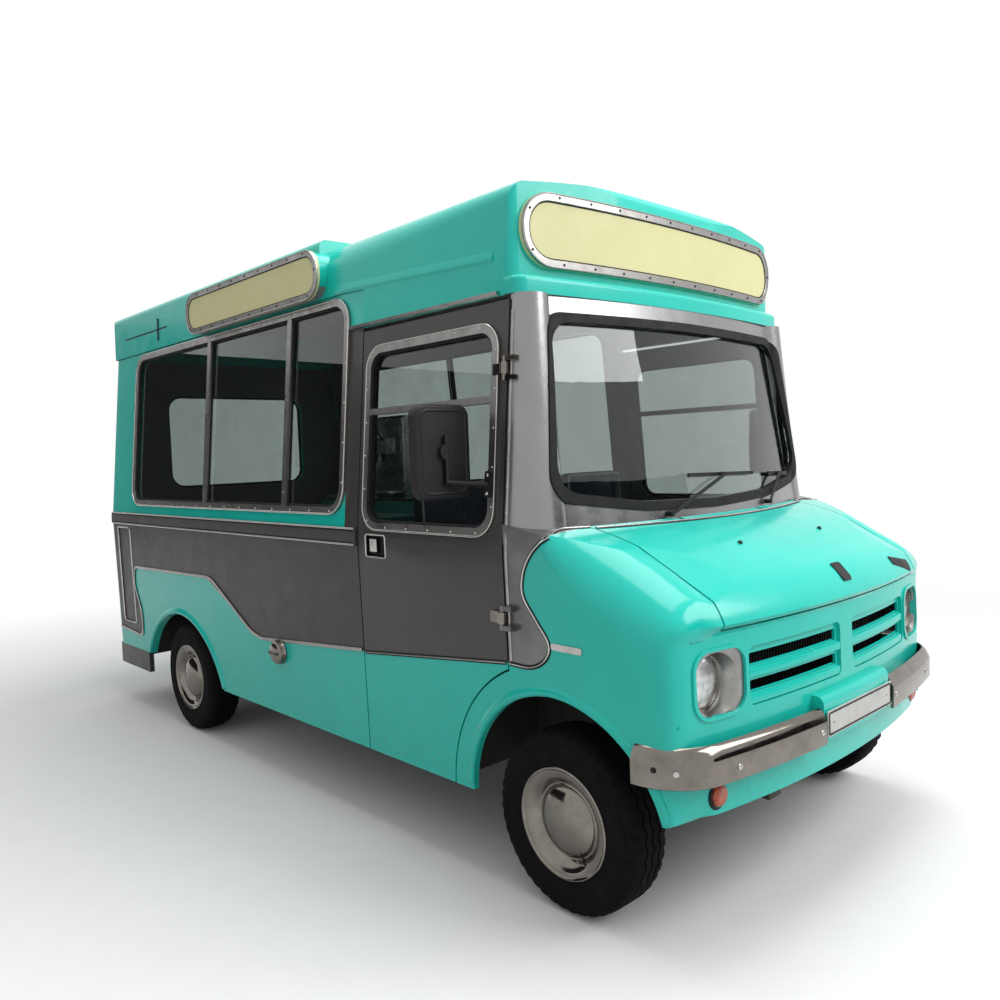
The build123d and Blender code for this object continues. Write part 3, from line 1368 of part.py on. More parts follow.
SPRING_Y = 420.0
SPRING_HALF = 30.0
SPRING_END = 600.0
SPRING_EYE = 40.0
SPRING_END_Z = 372.0
SPRING_LOW_Z = 262.0
SPRING_HIGH_Z = 289.6
SPRING_TOP_Z = RAIL_LOW_Z - SEAM

with BuildPart() as leaf_springs:
    rear, front = REAR_AXLE_X - SPRING_END, REAR_AXLE_X + SPRING_END
    for side in (-1, 1):
        with BuildSketch(Plane.XZ.offset(-side * SPRING_Y - SPRING_HALF)):
            with BuildLine():
                ThreePointArc((rear, SPRING_END_Z), (REAR_AXLE_X, SPRING_LOW_Z), (front, SPRING_END_Z))
                Polyline((front, SPRING_END_Z), (front, SPRING_TOP_Z), (front - SPRING_EYE, SPRING_TOP_Z))
                ThreePointArc(
                    (front - SPRING_EYE, SPRING_TOP_Z), (REAR_AXLE_X, SPRING_HIGH_Z),
                    (rear + SPRING_EYE, SPRING_TOP_Z),
                )
                Polyline((rear + SPRING_EYE, SPRING_TOP_Z), (rear, SPRING_TOP_Z), (rear, SPRING_END_Z))
            make_face()
        extrude(amount=2 * SPRING_HALF)

# Chassis, floor, bulkhead and wheel boxes
BULKHEAD_X = FRONT_AXLE_X - 190.0
RAIL_FRONT_X = FRONT_AXLE_X + 520.0
CAB_FLOOR_X = FRONT_AXLE_X - 500.0
INNER_WING_Y = 590.0
# Cross-members of the frame, as distances behind the front axle
CROSS_TABLE = (-480.0, 1100.0, 1900.0, 2500.0, 3900.0)
CROSS_WIDE = 70.0
CROSS_TALL = 80.0
CROSS_DROP = 50.0

with BuildPart() as chassis_frame:
    add(both_sides(BODY_REAR_X + WALL + 6, RAIL_FRONT_X, RAIL_IN, RAIL_OUT, RAIL_LOW_Z, FLOOR_Z))
    for back in CROSS_TABLE:
        with Locations((FRONT_AXLE_X - back, 0, FLOOR_Z - CROSS_DROP)):
            Box(CROSS_WIDE, 2 * RAIL_IN + 10, CROSS_TALL)

BOX_HALF = 470.0
BOX_IN_Y = 740.0
BOX_TOP_Z = 790.0
BOX_WALL = 12.0
FLOOR_HALF = half_width(FLOOR_Z) - WALL - SEAM

FLOOR_TOP_Z = FLOOR_Z + FLOOR_THICK
CAB_FLOOR_HALF = FLOOR_HALF - DOOR_FLOOR_GAP
TUNNEL_HALF = INNER_WING_Y - SEAM
PLATE = 15.0
BULKHEAD_TOP_Z = 1300.0

with BuildPart() as floor:
    add(slab(BODY_REAR_X + WALL + SEAM, SIDE_FRONT_X, -FLOOR_HALF, FLOOR_HALF, FLOOR_Z, FLOOR_TOP_Z))
    fillet(floor.edges().filter_by(Axis.Z).group_by(Axis.X)[0], radius=REAR_CORNER - WALL)
    add(slab(SIDE_FRONT_X, CAB_FLOOR_X, -CAB_FLOOR_HALF, CAB_FLOOR_HALF, FLOOR_Z, FLOOR_TOP_Z))
    add(slab(CAB_FLOOR_X, BULKHEAD_X + PLATE, -TUNNEL_HALF, TUNNEL_HALF, FLOOR_Z, FLOOR_TOP_Z))
    add(
        both_sides(
            REAR_ARCH_X - BOX_HALF, REAR_ARCH_X + BOX_HALF, BOX_IN_Y, FLOOR_HALF, FLOOR_Z, BOX_TOP_Z
        )
    )
    add(
        both_sides(
            REAR_ARCH_X - BOX_HALF + BOX_WALL, REAR_ARCH_X + BOX_HALF - BOX_WALL,
            BOX_IN_Y + BOX_WALL, FLOOR_HALF + BOX_WALL, FLOOR_Z - BOX_WALL, BOX_TOP_Z - BOX_WALL,
        ),
        mode=Mode.SUBTRACT,
    )
    add(slab(BULKHEAD_X, BULKHEAD_X + PLATE, -TUNNEL_HALF, TUNNEL_HALF, FLOOR_Z, BULKHEAD_TOP_Z))

# Inner wings: boxes beside each axle, as rear, front, inner and outer sides, bottom and top
FOOT_WELL_Y = 940.0
WELL_TOP_Z = 860.0
SHEET = 14.0
ARM_HOLE = 160.0
WING_TABLE = (
    (CAB_FLOOR_X + SEAM, FRONT_AXLE_X + 300.0, INNER_WING_Y, INNER_WING_Y + SHEET, RAIL_LOW_Z, 1050.0),
    (CAB_FLOOR_X + SEAM, CAB_FLOOR_X + SHEET, INNER_WING_Y, FOOT_WELL_Y, RAIL_LOW_Z, WELL_TOP_Z),
    (CAB_FLOOR_X + SEAM, BULKHEAD_X + PLATE, INNER_WING_Y, FOOT_WELL_Y, WELL_TOP_Z - SHEET, WELL_TOP_Z),
    (BULKHEAD_X, BULKHEAD_X + PLATE, INNER_WING_Y, FOOT_WELL_Y, WELL_TOP_Z - SHEET, BULKHEAD_TOP_Z),
)

with BuildPart() as inner_wings:
    for x_rear, x_front, y_in, y_out, z_low, z_high in WING_TABLE:
        add(both_sides(x_rear, x_front, y_in, y_out, z_low, z_high))
    add(
        both_sides(
            FRONT_AXLE_X - ARM_HOLE, FRONT_AXLE_X + ARM_HOLE, RAIL_OUT, KINGPIN_Y, UNDER_Z,
            TYRE_RADIUS + ARM_LIFT + 2 * PIN_RADIUS,
        ),
        mode=Mode.SUBTRACT,
    )

# Engine, gearbox and cross-bearer: rear and front ends from the axle, half width, bottom and top
ENGINE_TABLE = (
    (-150.0, 400.0, 230.0, 440.0, 1000.0),
    (-760.0, -140.0, 150.0, 280.0, 500.0),
    (90.0, 170.0, RAIL_IN - SEAM, 445.0, 495.0),
)

with BuildPart() as engine_block:
    for rear, front, half, z_low, z_high in ENGINE_TABLE:
        add(slab(FRONT_AXLE_X + rear, FRONT_AXLE_X + front, -half, half, z_low, z_high))

TANK_REAR_X = FRONT_AXLE_X - 2350.0
TANK_FRONT_X = FRONT_AXLE_X - 1500.0
TANK_IN_Y = 480.0
TANK_OUT_Y = 900.0
TANK_LOW_Z = 310.0
TANK_ROUND = 40.0

with BuildPart() as fuel_tank:
    add(slab(TANK_REAR_X, TANK_FRONT_X, -TANK_OUT_Y, -TANK_IN_Y, TANK_LOW_Z, FLOOR_Z - SEAM))
    fillet(fuel_tank.edges().filter_by(Axis.X), radius=TANK_ROUND)

SILENCER_X = FRONT_AXLE_X - 1900.0
SILENCER_Y = 640.0
SILENCER_Z = 400.0
SILENCER_RADIUS = 100.0
SILENCER_LONG = 620.0
PIPE_X = FRONT_AXLE_X - 1450.0
PIPE_RADIUS = 24.0
PIPE_LONG = 1500.0
HANGER = 40.0

with BuildPart() as exhaust:
    with Locations((SILENCER_X, SILENCER_Y, SILENCER_Z)):
        Cylinder(SILENCER_RADIUS, SILENCER_LONG, rotation=(0, 90, 0))
    with Locations((PIPE_X, SILENCER_Y, SILENCER_Z)):
        Cylinder(PIPE_RADIUS, PIPE_LONG, rotation=(0, 90, 0))
    add(
        slab(
            SILENCER_X - HANGER / 2, SILENCER_X + HANGER / 2,
            SILENCER_Y - HANGER / 2, SILENCER_Y + HANGER / 2, SILENCER_Z, FLOOR_Z - SEAM,
        )
    )

# Inside: the dash panel and its shelf, as front end, half width, bottom and top
DASH_REAR_X = BULKHEAD_X - 150.0
DASH_TOP_Z = 1318.0
SHELF_LOW_Z = 1302.0
DASH_TABLE = (
    (BULKHEAD_X - SEAM, 880.0, 1090.0),
    (FRONT_AXLE_X - 30.0, 590.0, SHELF_LOW_Z),
    (FRONT_AXLE_X - 120.0, 860.0, SHELF_LOW_Z),
)

with BuildPart() as dashboard:
    for front, half, z_low in DASH_TABLE:
        add(slab(DASH_REAR_X, front, -half, half, z_low, DASH_TOP_Z))

DRIVER_Y = 500.0
RIM_OF_WHEEL = 195.0
RIM_GRIP = 13.0
BOSS_RADIUS = 46.0
BOSS_TALL = 24.0
SPOKE_WIDE = 30.0
SPOKE_THICK = 12.0
COLUMN_RADIUS = 22.0
COLUMN_LONG = 330.0

with BuildPart() as steering_wheel:
    column = Plane(
        origin=(BULKHEAD_X - 300, -DRIVER_Y, 1330), x_dir=(0, 1, 0), z_dir=(-0.55, 0, 0.83)
    )
    with BuildSketch(Plane(origin=column.origin, x_dir=column.x_dir, z_dir=column.y_dir)):
        with Locations((RIM_OF_WHEEL, 0)):
            RegularPolygon(RIM_GRIP, 8)
    revolve(axis=Axis(column.origin, column.z_dir))
    with Locations(column):
        Cylinder(BOSS_RADIUS, BOSS_TALL)
        with Locations((0, 0, -2)):
            Box(2 * RIM_OF_WHEEL - 4, SPOKE_WIDE, SPOKE_THICK)
    with BuildSketch(column.offset(-SPOKE_THICK / 2)):
        Circle(COLUMN_RADIUS)
    extrude(amount=-COLUMN_LONG)
    add(
        slab(DASH_REAR_X - SEAM, BULKHEAD_X + 400, -OUTSIDE, 0, 900, OVER_Z),
        mode=Mode.SUBTRACT,
    )

# Seats: base, cushion and backrest, as rear and front ends from the seat, half width, bottom and top
SEAT_X = FRONT_AXLE_X - 840.0
SEAT_TABLE = (
    (-200.0, 180.0, 200.0, FLOOR_TOP_Z + SEAM, 800.0),
    (-240.0, 240.0, 240.0, 800.0, 950.0),
    (-330.0, -210.0, 240.0, 830.0, 1560.0),
)

with BuildPart() as seats:
    for rear, front, half, z_low, z_high in SEAT_TABLE:
        add(both_sides(SEAT_X + rear, SEAT_X + front, DRIVER_Y - half, DRIVER_Y + half, z_low, z_high))

# Serving counters: a top on a front board, along each side
COUNTER_Z = 1352.0
COUNTER_THICK = 30.0
COUNTER_IN_Y = 560.0
COUNTER_OUT_Y = half_width(COUNTER_Z) - WALL - 8.0
COUNTER_REAR_X = BODY_REAR_X + 300.0
COUNTER_FRONT_X = SIDE_FRONT_X - 120.0
COUNTER_TOP_Z = COUNTER_Z + COUNTER_THICK
BOARD = 20.0

with BuildPart() as serving_counter:
    add(
        both_sides(
            COUNTER_REAR_X, COUNTER_FRONT_X, COUNTER_IN_Y, COUNTER_OUT_Y, COUNTER_Z, COUNTER_TOP_Z
        )
    )
    add(
        both_sides(
            COUNTER_REAR_X, COUNTER_FRONT_X, COUNTER_IN_Y, COUNTER_IN_Y + BOARD,
            FLOOR_TOP_Z + SEAM, COUNTER_TOP_Z - COUNTER_THICK / 2,
        )
    )

MACHINE_REAR_X = REAR_AXLE_X - 200.0
MACHINE_FRONT_X = REAR_AXLE_X + 260.0
MACHINE_IN_Y = 580.0
MACHINE_OUT_Y = 940.0
MACHINE_TOP_Z = 1980.0
MACHINE_ROUND = 20.0
TAP_REAR_X = REAR_AXLE_X - 60.0
TAP_FRONT_X = REAR_AXLE_X + 120.0
TAP_OUT = 60.0
TAP_LOW_Z = 1700.0
TAP_HIGH_Z = 1820.0

with BuildPart() as ice_cream_machine:
    add(
        slab(
            MACHINE_REAR_X, MACHINE_FRONT_X, MACHINE_IN_Y, MACHINE_OUT_Y,
            COUNTER_TOP_Z + SEAM, MACHINE_TOP_Z,
        )
    )
    fillet(ice_cream_machine.edges(), radius=MACHINE_ROUND)
    add(
        slab(
            TAP_REAR_X, TAP_FRONT_X, MACHINE_IN_Y - TAP_OUT, MACHINE_IN_Y + 10, TAP_LOW_Z, TAP_HIGH_Z
        )
    )

pieces = [
    (side_skirt, "side_skirt"), (side_lower, "side_lower"), (side_upper, "side_upper"),
    (rear_wall, "rear_wall"), (roof, "roof"), (signs, "signs"), (cab_front, "cab_front"),
    (windscreen_glass, "windscreen_glass"), (windscreen_seal, "windscreen_seal"),
    (bonnet, "bonnet"), (front_wings, "front_wings"), (front_panel, "front_panel"),
    (headlamps, "headlamps"), (front_bumper, "front_bumper"), (rear_bumper, "rear_bumper"),
    (number_plate, "number_plate"), (lamps, "lamps"), (brightwork, "brightwork"),
    (serving_frames, "serving_frames"), (body_glass, "body_glass"),
    (door_right, "door_right"), (door_left, "door_left"),
    (door_glass_right, "door_glass_right"), (door_glass_left, "door_glass_left"),
    (mirror_right, "mirror_right"), (mirror_left, "mirror_left"), (wipers, "wipers"),
    (front_suspension, "front_suspension"), (rear_axle, "rear_axle"), (leaf_springs, "leaf_springs"),
    (chassis_frame, "chassis_frame"), (floor, "floor"), (inner_wings, "inner_wings"),
    (engine_block, "engine_block"), (fuel_tank, "fuel_tank"), (exhaust, "exhaust"),
    (dashboard, "dashboard"), (steering_wheel, "steering_wheel"), (seats, "seats"),
    (serving_counter, "serving_counter"), (ice_cream_machine, "ice_cream_machine"),
]

for piece, label in pieces + wheel_pieces + knuckles:
    piece.part.label = label
    export_step(piece.part, f"parts/{label}.step")
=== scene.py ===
import json
from math import cos, hypot, pi, radians, sin, sqrt

import bmesh
import bpy
import numpy as np
from mathutils import Matrix, Vector
from mathutils.bvhtree import BVHTree


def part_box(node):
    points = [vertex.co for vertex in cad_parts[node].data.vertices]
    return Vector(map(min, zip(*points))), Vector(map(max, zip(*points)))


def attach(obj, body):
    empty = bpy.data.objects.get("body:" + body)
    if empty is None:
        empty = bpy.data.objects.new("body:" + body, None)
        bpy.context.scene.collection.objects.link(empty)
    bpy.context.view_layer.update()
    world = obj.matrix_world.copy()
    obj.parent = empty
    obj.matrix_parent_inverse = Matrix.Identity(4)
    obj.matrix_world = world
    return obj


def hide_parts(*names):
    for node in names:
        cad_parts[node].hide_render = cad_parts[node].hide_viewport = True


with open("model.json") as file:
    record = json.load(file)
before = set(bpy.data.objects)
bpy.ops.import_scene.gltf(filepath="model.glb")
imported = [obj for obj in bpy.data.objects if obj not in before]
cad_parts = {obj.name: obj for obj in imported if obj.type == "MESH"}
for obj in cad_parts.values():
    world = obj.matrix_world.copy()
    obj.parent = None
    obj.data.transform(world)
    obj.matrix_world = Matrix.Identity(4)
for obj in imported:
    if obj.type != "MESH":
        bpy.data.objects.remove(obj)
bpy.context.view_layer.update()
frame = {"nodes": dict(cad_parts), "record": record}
NODES = frame["nodes"]
BODY_OF = {
    node: body
    for body, members in frame["record"]["behaviour"]["bodies"].items()
    for node in members
}


def middle(node):
    low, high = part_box(node)
    return (low + high) / 2


AXLE_X = middle("tyre_front_right").x
REAR_AXLE_X = middle("tyre_rear_right").x
TYRE_RADIUS = middle("tyre_front_right").z


# Node helpers

def add_node(tree, kind, values=None, **settings):
    """A shader node with its settings, and its inputs given as numbers, colours or other nodes' outputs."""
    made = tree.nodes.new(kind)
    for name, value in settings.items():
        setattr(made, name, value)
    for socket, value in (values or {}).items():
        if isinstance(value, bpy.types.NodeSocket):
            tree.links.new(value, made.inputs[socket])
        else:
            made.inputs[socket].default_value = value
    return made


def math_node(tree, operation, first, second=0.0):
    return add_node(tree, "ShaderNodeMath", {0: first, 1: second}, operation=operation).outputs[0]


def place(tree):
    """The point on the object, in metres, at rest."""
    return add_node(tree, "ShaderNodeTexCoord").outputs["Object"]


def axes(tree, spot):
    return add_node(tree, "ShaderNodeSeparateXYZ", {0: spot}).outputs


def noise(tree, scale, detail, rough, spot):
    values = {"Vector": spot, "Scale": scale, "Detail": detail, "Roughness": rough}
    return add_node(tree, "ShaderNodeTexNoise", values).outputs["Fac"]


def ramp(tree, factor, low, high, start=0.35, end=0.65):
    """A number that runs from low to high as the factor goes from start to end."""
    return add_node(
        tree, "ShaderNodeMapRange",
        {"Value": factor, "From Min": start, "From Max": end, "To Min": low, "To Max": high},
    ).outputs["Result"]


def blend(tree, factor, first, second):
    made = add_node(tree, "ShaderNodeMix", {0: factor}, data_type="RGBA")
    for socket, value in ((6, first), (7, second)):
        if isinstance(value, bpy.types.NodeSocket):
            tree.links.new(value, made.inputs[socket])
        else:
            made.inputs[socket].default_value = (*value, 1.0)
    return made.outputs[2]


def bump(tree, height, strength, distance):
    return add_node(
        tree, "ShaderNodeBump", {"Height": height, "Strength": strength, "Distance": distance}
    ).outputs["Normal"]


def new_material(name, **constants):
    """A material whose constant values are set on the shader's own sockets."""
    material = bpy.data.materials.new(name)
    material.use_nodes = True
    shader = material.node_tree.nodes["Principled BSDF"]
    for key, value in constants.items():
        shader.inputs[key.replace("_", " ").title().replace("Ior", "IOR")].default_value = value
    return material, material.node_tree, shader


def wire(tree, shader, **outputs):
    for key, value in outputs.items():
        tree.links.new(value, shader.inputs[key.replace("_", " ").title()])


# Colours, linear
TURQUOISE = (0.014, 0.600, 0.500)
TURQUOISE_WORN = (0.012, 0.545, 0.455)
PEWTER = (0.078, 0.074, 0.072)
PEWTER_DARK = (0.062, 0.058, 0.056)
SILVER = (0.30, 0.30, 0.305)
SILVER_DULL = (0.25, 0.25, 0.255)
CREAM = (0.74, 0.71, 0.37)
CREAM_FADED = (0.69, 0.66, 0.34)
BRIGHT = (0.22, 0.200, 0.178)
BRIGHT_DULL = (0.14, 0.126, 0.110)
ALLOY = (0.34, 0.33, 0.32)
ALLOY_DULL = (0.22, 0.21, 0.20)
GRIME = (0.10, 0.085, 0.06)


def ageing(tree, spot):
    """How far paint has faded, in clouds, and how much grime is on it, most of it low down."""
    fade = ramp(tree, noise(tree, 2.2, 5.0, 0.6, spot), 0.0, 1.0, 0.30, 0.75)
    low = ramp(tree, axes(tree, spot)["Z"], 0.34, 0.0, 0.30, 0.85)
    speckle = ramp(tree, noise(tree, 38.0, 6.0, 0.65, spot), 0.0, 1.0, 0.48, 0.72)
    return fade, math_node(tree, "MULTIPLY", low, speckle)


def orange_peel(tree, spot):
    return bump(tree, noise(tree, 160.0, 2.0, 0.5, spot), 0.03, 0.002)


def paint(name, colour, worn, metal=0.0, rough=0.16, coat=0.12):
    """Old coach enamel: faint fading in clouds, grime low down and a little orange peel."""
    material, tree, shader = new_material(
        name, metallic=metal, coat_weight=coat, coat_roughness=0.06, specular_ior_level=0.3
    )
    spot = place(tree)
    fade, dirt = ageing(tree, spot)
    wire(
        tree, shader,
        base_color=blend(tree, dirt, blend(tree, fade, colour, worn), GRIME),
        roughness=ramp(tree, noise(tree, 9.0, 4.0, 0.6, spot), rough, rough + 0.16, 0.3, 0.8),
        normal=orange_peel(tree, spot),
    )
    return material


def bare_metal(name, colour, dull, rough):
    """Plated or polished metal with cloudy dulling and fine pits."""
    material, tree, shader = new_material(name, metallic=1.0)
    spot = place(tree)
    clouds = noise(tree, 14.0, 6.0, 0.62, spot)
    pits = ramp(tree, noise(tree, 420.0, 3.0, 0.5, spot), 0.0, 1.0, 0.62, 0.74)
    tone = blend(tree, ramp(tree, clouds, 0.0, 0.8, 0.42, 0.75), colour, dull)
    wire(
        tree, shader,
        base_color=blend(tree, math_node(tree, "MULTIPLY", pits, 0.5), tone, GRIME),
        roughness=ramp(tree, clouds, rough, rough + 0.16, 0.35, 0.8),
        normal=bump(tree, noise(tree, 300.0, 2.0, 0.5, spot), 0.02, 0.001),
    )
    return material


def dull_surface(name, colour, other, rough=0.55, grain=220.0, depth=0.15, spread=6.0, shine=0.5):
    """Rubber, plastic, castings and other matt surfaces, with grain and a second tone."""
    material, tree, shader = new_material(name, specular_ior_level=shine)
    spot = place(tree)
    clouds = noise(tree, spread, 5.0, 0.6, spot)
    rougher = min(rough + 0.25, 1.0)
    wire(
        tree, shader,
        base_color=blend(tree, ramp(tree, clouds, 0.0, 1.0, 0.3, 0.72), colour, other),
        roughness=ramp(tree, noise(tree, spread * 4, 4.0, 0.6, spot), rough, rougher, 0.3, 0.75),
        normal=bump(tree, noise(tree, grain, 3.0, 0.6, spot), depth, 0.002),
    )
    return material


def clear_glass(name, tint, smear=0.02):
    """Window glass with a faint film of dust."""
    material, tree, shader = new_material(name, transmission_weight=1.0, ior=1.45)
    spot = place(tree)
    film = noise(tree, 5.0, 6.0, 0.65, spot)
    dusty = tuple(c * 0.9 for c in tint)
    wire(
        tree, shader,
        base_color=blend(tree, ramp(tree, film, 0.0, 1.0, 0.4, 0.8), tint, dusty),
        roughness=ramp(tree, film, 0.0, smear, 0.45, 0.8),
    )
    return material


def lens(name, colour, deep, rib=150.0, clear=0.6, metal=0.0, coat=0.8):
    """A moulded lamp lens with upright flutes."""
    material, tree, shader = new_material(
        name, transmission_weight=clear, ior=1.5, roughness=0.08, metallic=metal,
        coat_weight=coat, coat_roughness=0.03,
    )
    spot = place(tree)
    flutes = math_node(tree, "SINE", math_node(tree, "MULTIPLY", axes(tree, spot)["Y"], rib * 2 * pi))
    wire(
        tree, shader,
        base_color=blend(tree, ramp(tree, noise(tree, 40.0, 3.0, 0.5, spot), 0.0, 1.0), colour, deep),
        normal=bump(tree, flutes, 0.35, 0.002),
    )
    return material


def two_tone(name, upper, lower, split):
    """Two paints on one panel. split(tree, spot) gives 1 where the lower paint goes."""
    material, tree, shader = new_material(
        name, coat_weight=0.12, coat_roughness=0.08, specular_ior_level=0.3
    )
    spot = place(tree)
    mask = split(tree, spot)
    fade, dirt = ageing(tree, spot)
    top = blend(tree, fade, *upper["colours"])
    bottom = blend(tree, fade, *lower["colours"])
    wire(
        tree, shader,
        base_color=blend(tree, dirt, blend(tree, mask, top, bottom), GRIME),
        metallic=ramp(tree, mask, upper["metal"], lower["metal"], 0.0, 1.0),
        roughness=ramp(tree, mask, upper["rough"], lower["rough"], 0.0, 1.0),
        normal=orange_peel(tree, spot),
    )
    return material


# The line between the two colours on the cab door, as distance ahead of the front axle and height
DOOR_LINE = ((-1.195, 0.791), (-0.281, 0.884))
# The edge of the grey tail on the cab side, from the door line up to the scuttle
TAIL_LINE = (
    (-0.215, 0.889), (-0.11, 0.89), (-0.035, 0.925), (-0.008, 0.985), (-0.066, 1.065), (-0.128, 1.15),
    (-0.124, 1.230), (-0.080, 1.305), (-0.010, 1.365), (-0.030, 1.392),
)
# The rear edge of the grey post behind the cab door, and its top under the drip rail
POST_X = -1.291
POST_TOP_Z = 2.266
TURQUOISE_COAT = {"colours": (TURQUOISE, TURQUOISE_WORN), "metal": 0.0, "rough": 0.18}
PEWTER_COAT = {"colours": (PEWTER, PEWTER_DARK), "metal": 0.35, "rough": 0.34}
SILVER_COAT = {"colours": (SILVER_DULL, PEWTER), "metal": 0.7, "rough": 0.30}


def below_door_line(tree, spot):
    (x0, z0), (x1, z1) = DOOR_LINE
    slope = (z1 - z0) / (x1 - x0)
    along = axes(tree, spot)
    line = math_node(tree, "MULTIPLY", along["X"], slope)
    line = math_node(tree, "ADD", line, z0 - slope * (x0 + AXLE_X))
    return math_node(tree, "LESS_THAN", along["Z"], line)


def ahead_of_window(tree, spot):
    """The grey post between the serving window and the cab door, up to the drip rail."""
    along = axes(tree, spot)
    ahead = math_node(tree, "GREATER_THAN", along["X"], AXLE_X + POST_X)
    under = math_node(tree, "LESS_THAN", along["Z"], POST_TOP_Z)
    return math_node(tree, "MULTIPLY", ahead, under)


def ahead_of_tail(tree, spot):
    along = axes(tree, spot)
    low, high = TAIL_LINE[1][1], TAIL_LINE[-1][1]
    reach = 0.5
    edge = add_node(
        tree, "ShaderNodeFloatCurve",
        {"Value": ramp(tree, along["Z"], 0.0, 1.0, low, high)},
    )
    points = edge.mapping.curves[0].points
    rows = [((z - low) / (high - low), (x + reach) / (2 * reach)) for x, z in TAIL_LINE[1:]]
    points[0].location = rows[0]
    points[1].location = rows[-1]
    for row in rows[1:-1]:
        points.new(*row)
    edge.mapping.update()
    line = ramp(tree, edge.outputs["Value"], AXLE_X - reach, AXLE_X + reach, 0.0, 1.0)
    ahead = math_node(tree, "GREATER_THAN", along["X"], line)
    under = math_node(tree, "LESS_THAN", along["Z"], low)
    return math_node(tree, "MAXIMUM", ahead, under)


MATERIALS = {
    "turquoise": paint("turquoise_enamel", TURQUOISE, TURQUOISE_WORN),
    "pewter": paint("pewter_enamel", PEWTER, PEWTER_DARK, metal=0.3, rough=0.36, coat=0.04),
    "silver": paint("silver_enamel", SILVER, SILVER_DULL, metal=0.9, rough=0.22, coat=0.25),
    "door": two_tone("door_enamel", PEWTER_COAT, TURQUOISE_COAT, below_door_line),
    "upper": two_tone("upper_enamel", TURQUOISE_COAT, PEWTER_COAT, ahead_of_window),
    "wing": two_tone("wing_enamel", SILVER_COAT, TURQUOISE_COAT, ahead_of_tail),
    "chrome": bare_metal("old_chrome", BRIGHT, BRIGHT_DULL, rough=0.06),
    "steel": bare_metal("frame_steel", ALLOY, ALLOY_DULL, rough=0.26),
    "bright": bare_metal("bright_bead", (0.52, 0.51, 0.49), (0.38, 0.37, 0.35), rough=0.16),
    "stainless": bare_metal("stainless", (0.52, 0.52, 0.51), (0.42, 0.42, 0.41), rough=0.24),
    # The window glass is tinted darker than clear glass: partly the glass's own greenish tint, partly painted
    # shade that stands in for the dim inside of the van.
    "glass": clear_glass("window_glass_shade_tinted", (0.48, 0.53, 0.515)),
    "rubber": dull_surface("black_rubber", (0.006, 0.006, 0.007), (0.012, 0.011, 0.012), shine=0.25),
    "tyre": dull_surface(
        "tyre_rubber", (0.003, 0.003, 0.004), (0.006, 0.005, 0.006), rough=0.75, shine=0.12
    ),
    "plastic": dull_surface(
        "black_plastic", (0.007, 0.007, 0.009), (0.014, 0.013, 0.015), rough=0.4, shine=0.3
    ),
    "underseal": dull_surface(
        "underseal", (0.012, 0.011, 0.010), (0.040, 0.034, 0.026), grain=90.0, depth=0.4
    ),
    "iron": dull_surface("cast_iron", (0.060, 0.058, 0.055), (0.105, 0.075, 0.050), rough=0.6, depth=0.4),
    "lining": dull_surface("wall_lining", (0.20, 0.21, 0.20), (0.16, 0.17, 0.16), rough=0.5, depth=0.05),
    "teal_laminate": dull_surface(
        "teal_laminate", (0.03, 0.42, 0.36), (0.03, 0.36, 0.31), rough=0.3, depth=0.02
    ),
    "cream": dull_surface("sign_cream", CREAM, CREAM_FADED, rough=0.4, grain=500.0, depth=0.02, spread=2.0),
    "plate": dull_surface("bare_plate", (0.60, 0.60, 0.57), (0.48, 0.48, 0.46), rough=0.35, depth=0.05),
    "clear_lens": lens("clear_lens", (0.78, 0.80, 0.80), (0.50, 0.52, 0.53), clear=0.0, metal=0.7),
    "amber_lens": lens("amber_lens", (0.60, 0.075, 0.002), (0.42, 0.04, 0.002), clear=0.1, coat=0.25),
    "red_lens": lens("red_lens", (0.42, 0.006, 0.006), (0.26, 0.004, 0.004), clear=0.2),
    "vinyl": dull_surface("blue_vinyl", (0.012, 0.020, 0.050), (0.018, 0.028, 0.062), rough=0.4, grain=350.0),
    "piping": dull_surface("white_piping", (0.62, 0.62, 0.58), (0.50, 0.50, 0.47), rough=0.4),
    "mirror": bare_metal("mirror_glass", (0.86, 0.88, 0.88), (0.80, 0.82, 0.82), rough=0.01),
}

# The CAD nodes that wear each finish
NODES_IN = {
    "turquoise": "side_skirt rear_wall roof bonnet front_panel",
    "pewter": "side_lower rear_bumper",
    "upper": "side_upper",
    "cream": "signs",
    "silver": "cab_front",
    "glass": "windscreen_glass body_glass door_glass_right door_glass_left",
    "rubber": "windscreen_seal",
    "wing": "front_wings",
    "steel": "headlamps brightwork serving_frames",
    "chrome": "front_bumper",
    "plate": "number_plate",
    "amber_lens": "lamps",
    "door": "door_right door_left",
    "plastic": "mirror_right mirror_left wipers dashboard steering_wheel",
    "underseal": (
        "front_suspension rear_axle leaf_springs chassis_frame "
        "floor inner_wings fuel_tank knuckle_right knuckle_left"
    ),
    "iron": "engine_block exhaust",
    "teal_laminate": "serving_counter",
    "stainless": "ice_cream_machine",
}


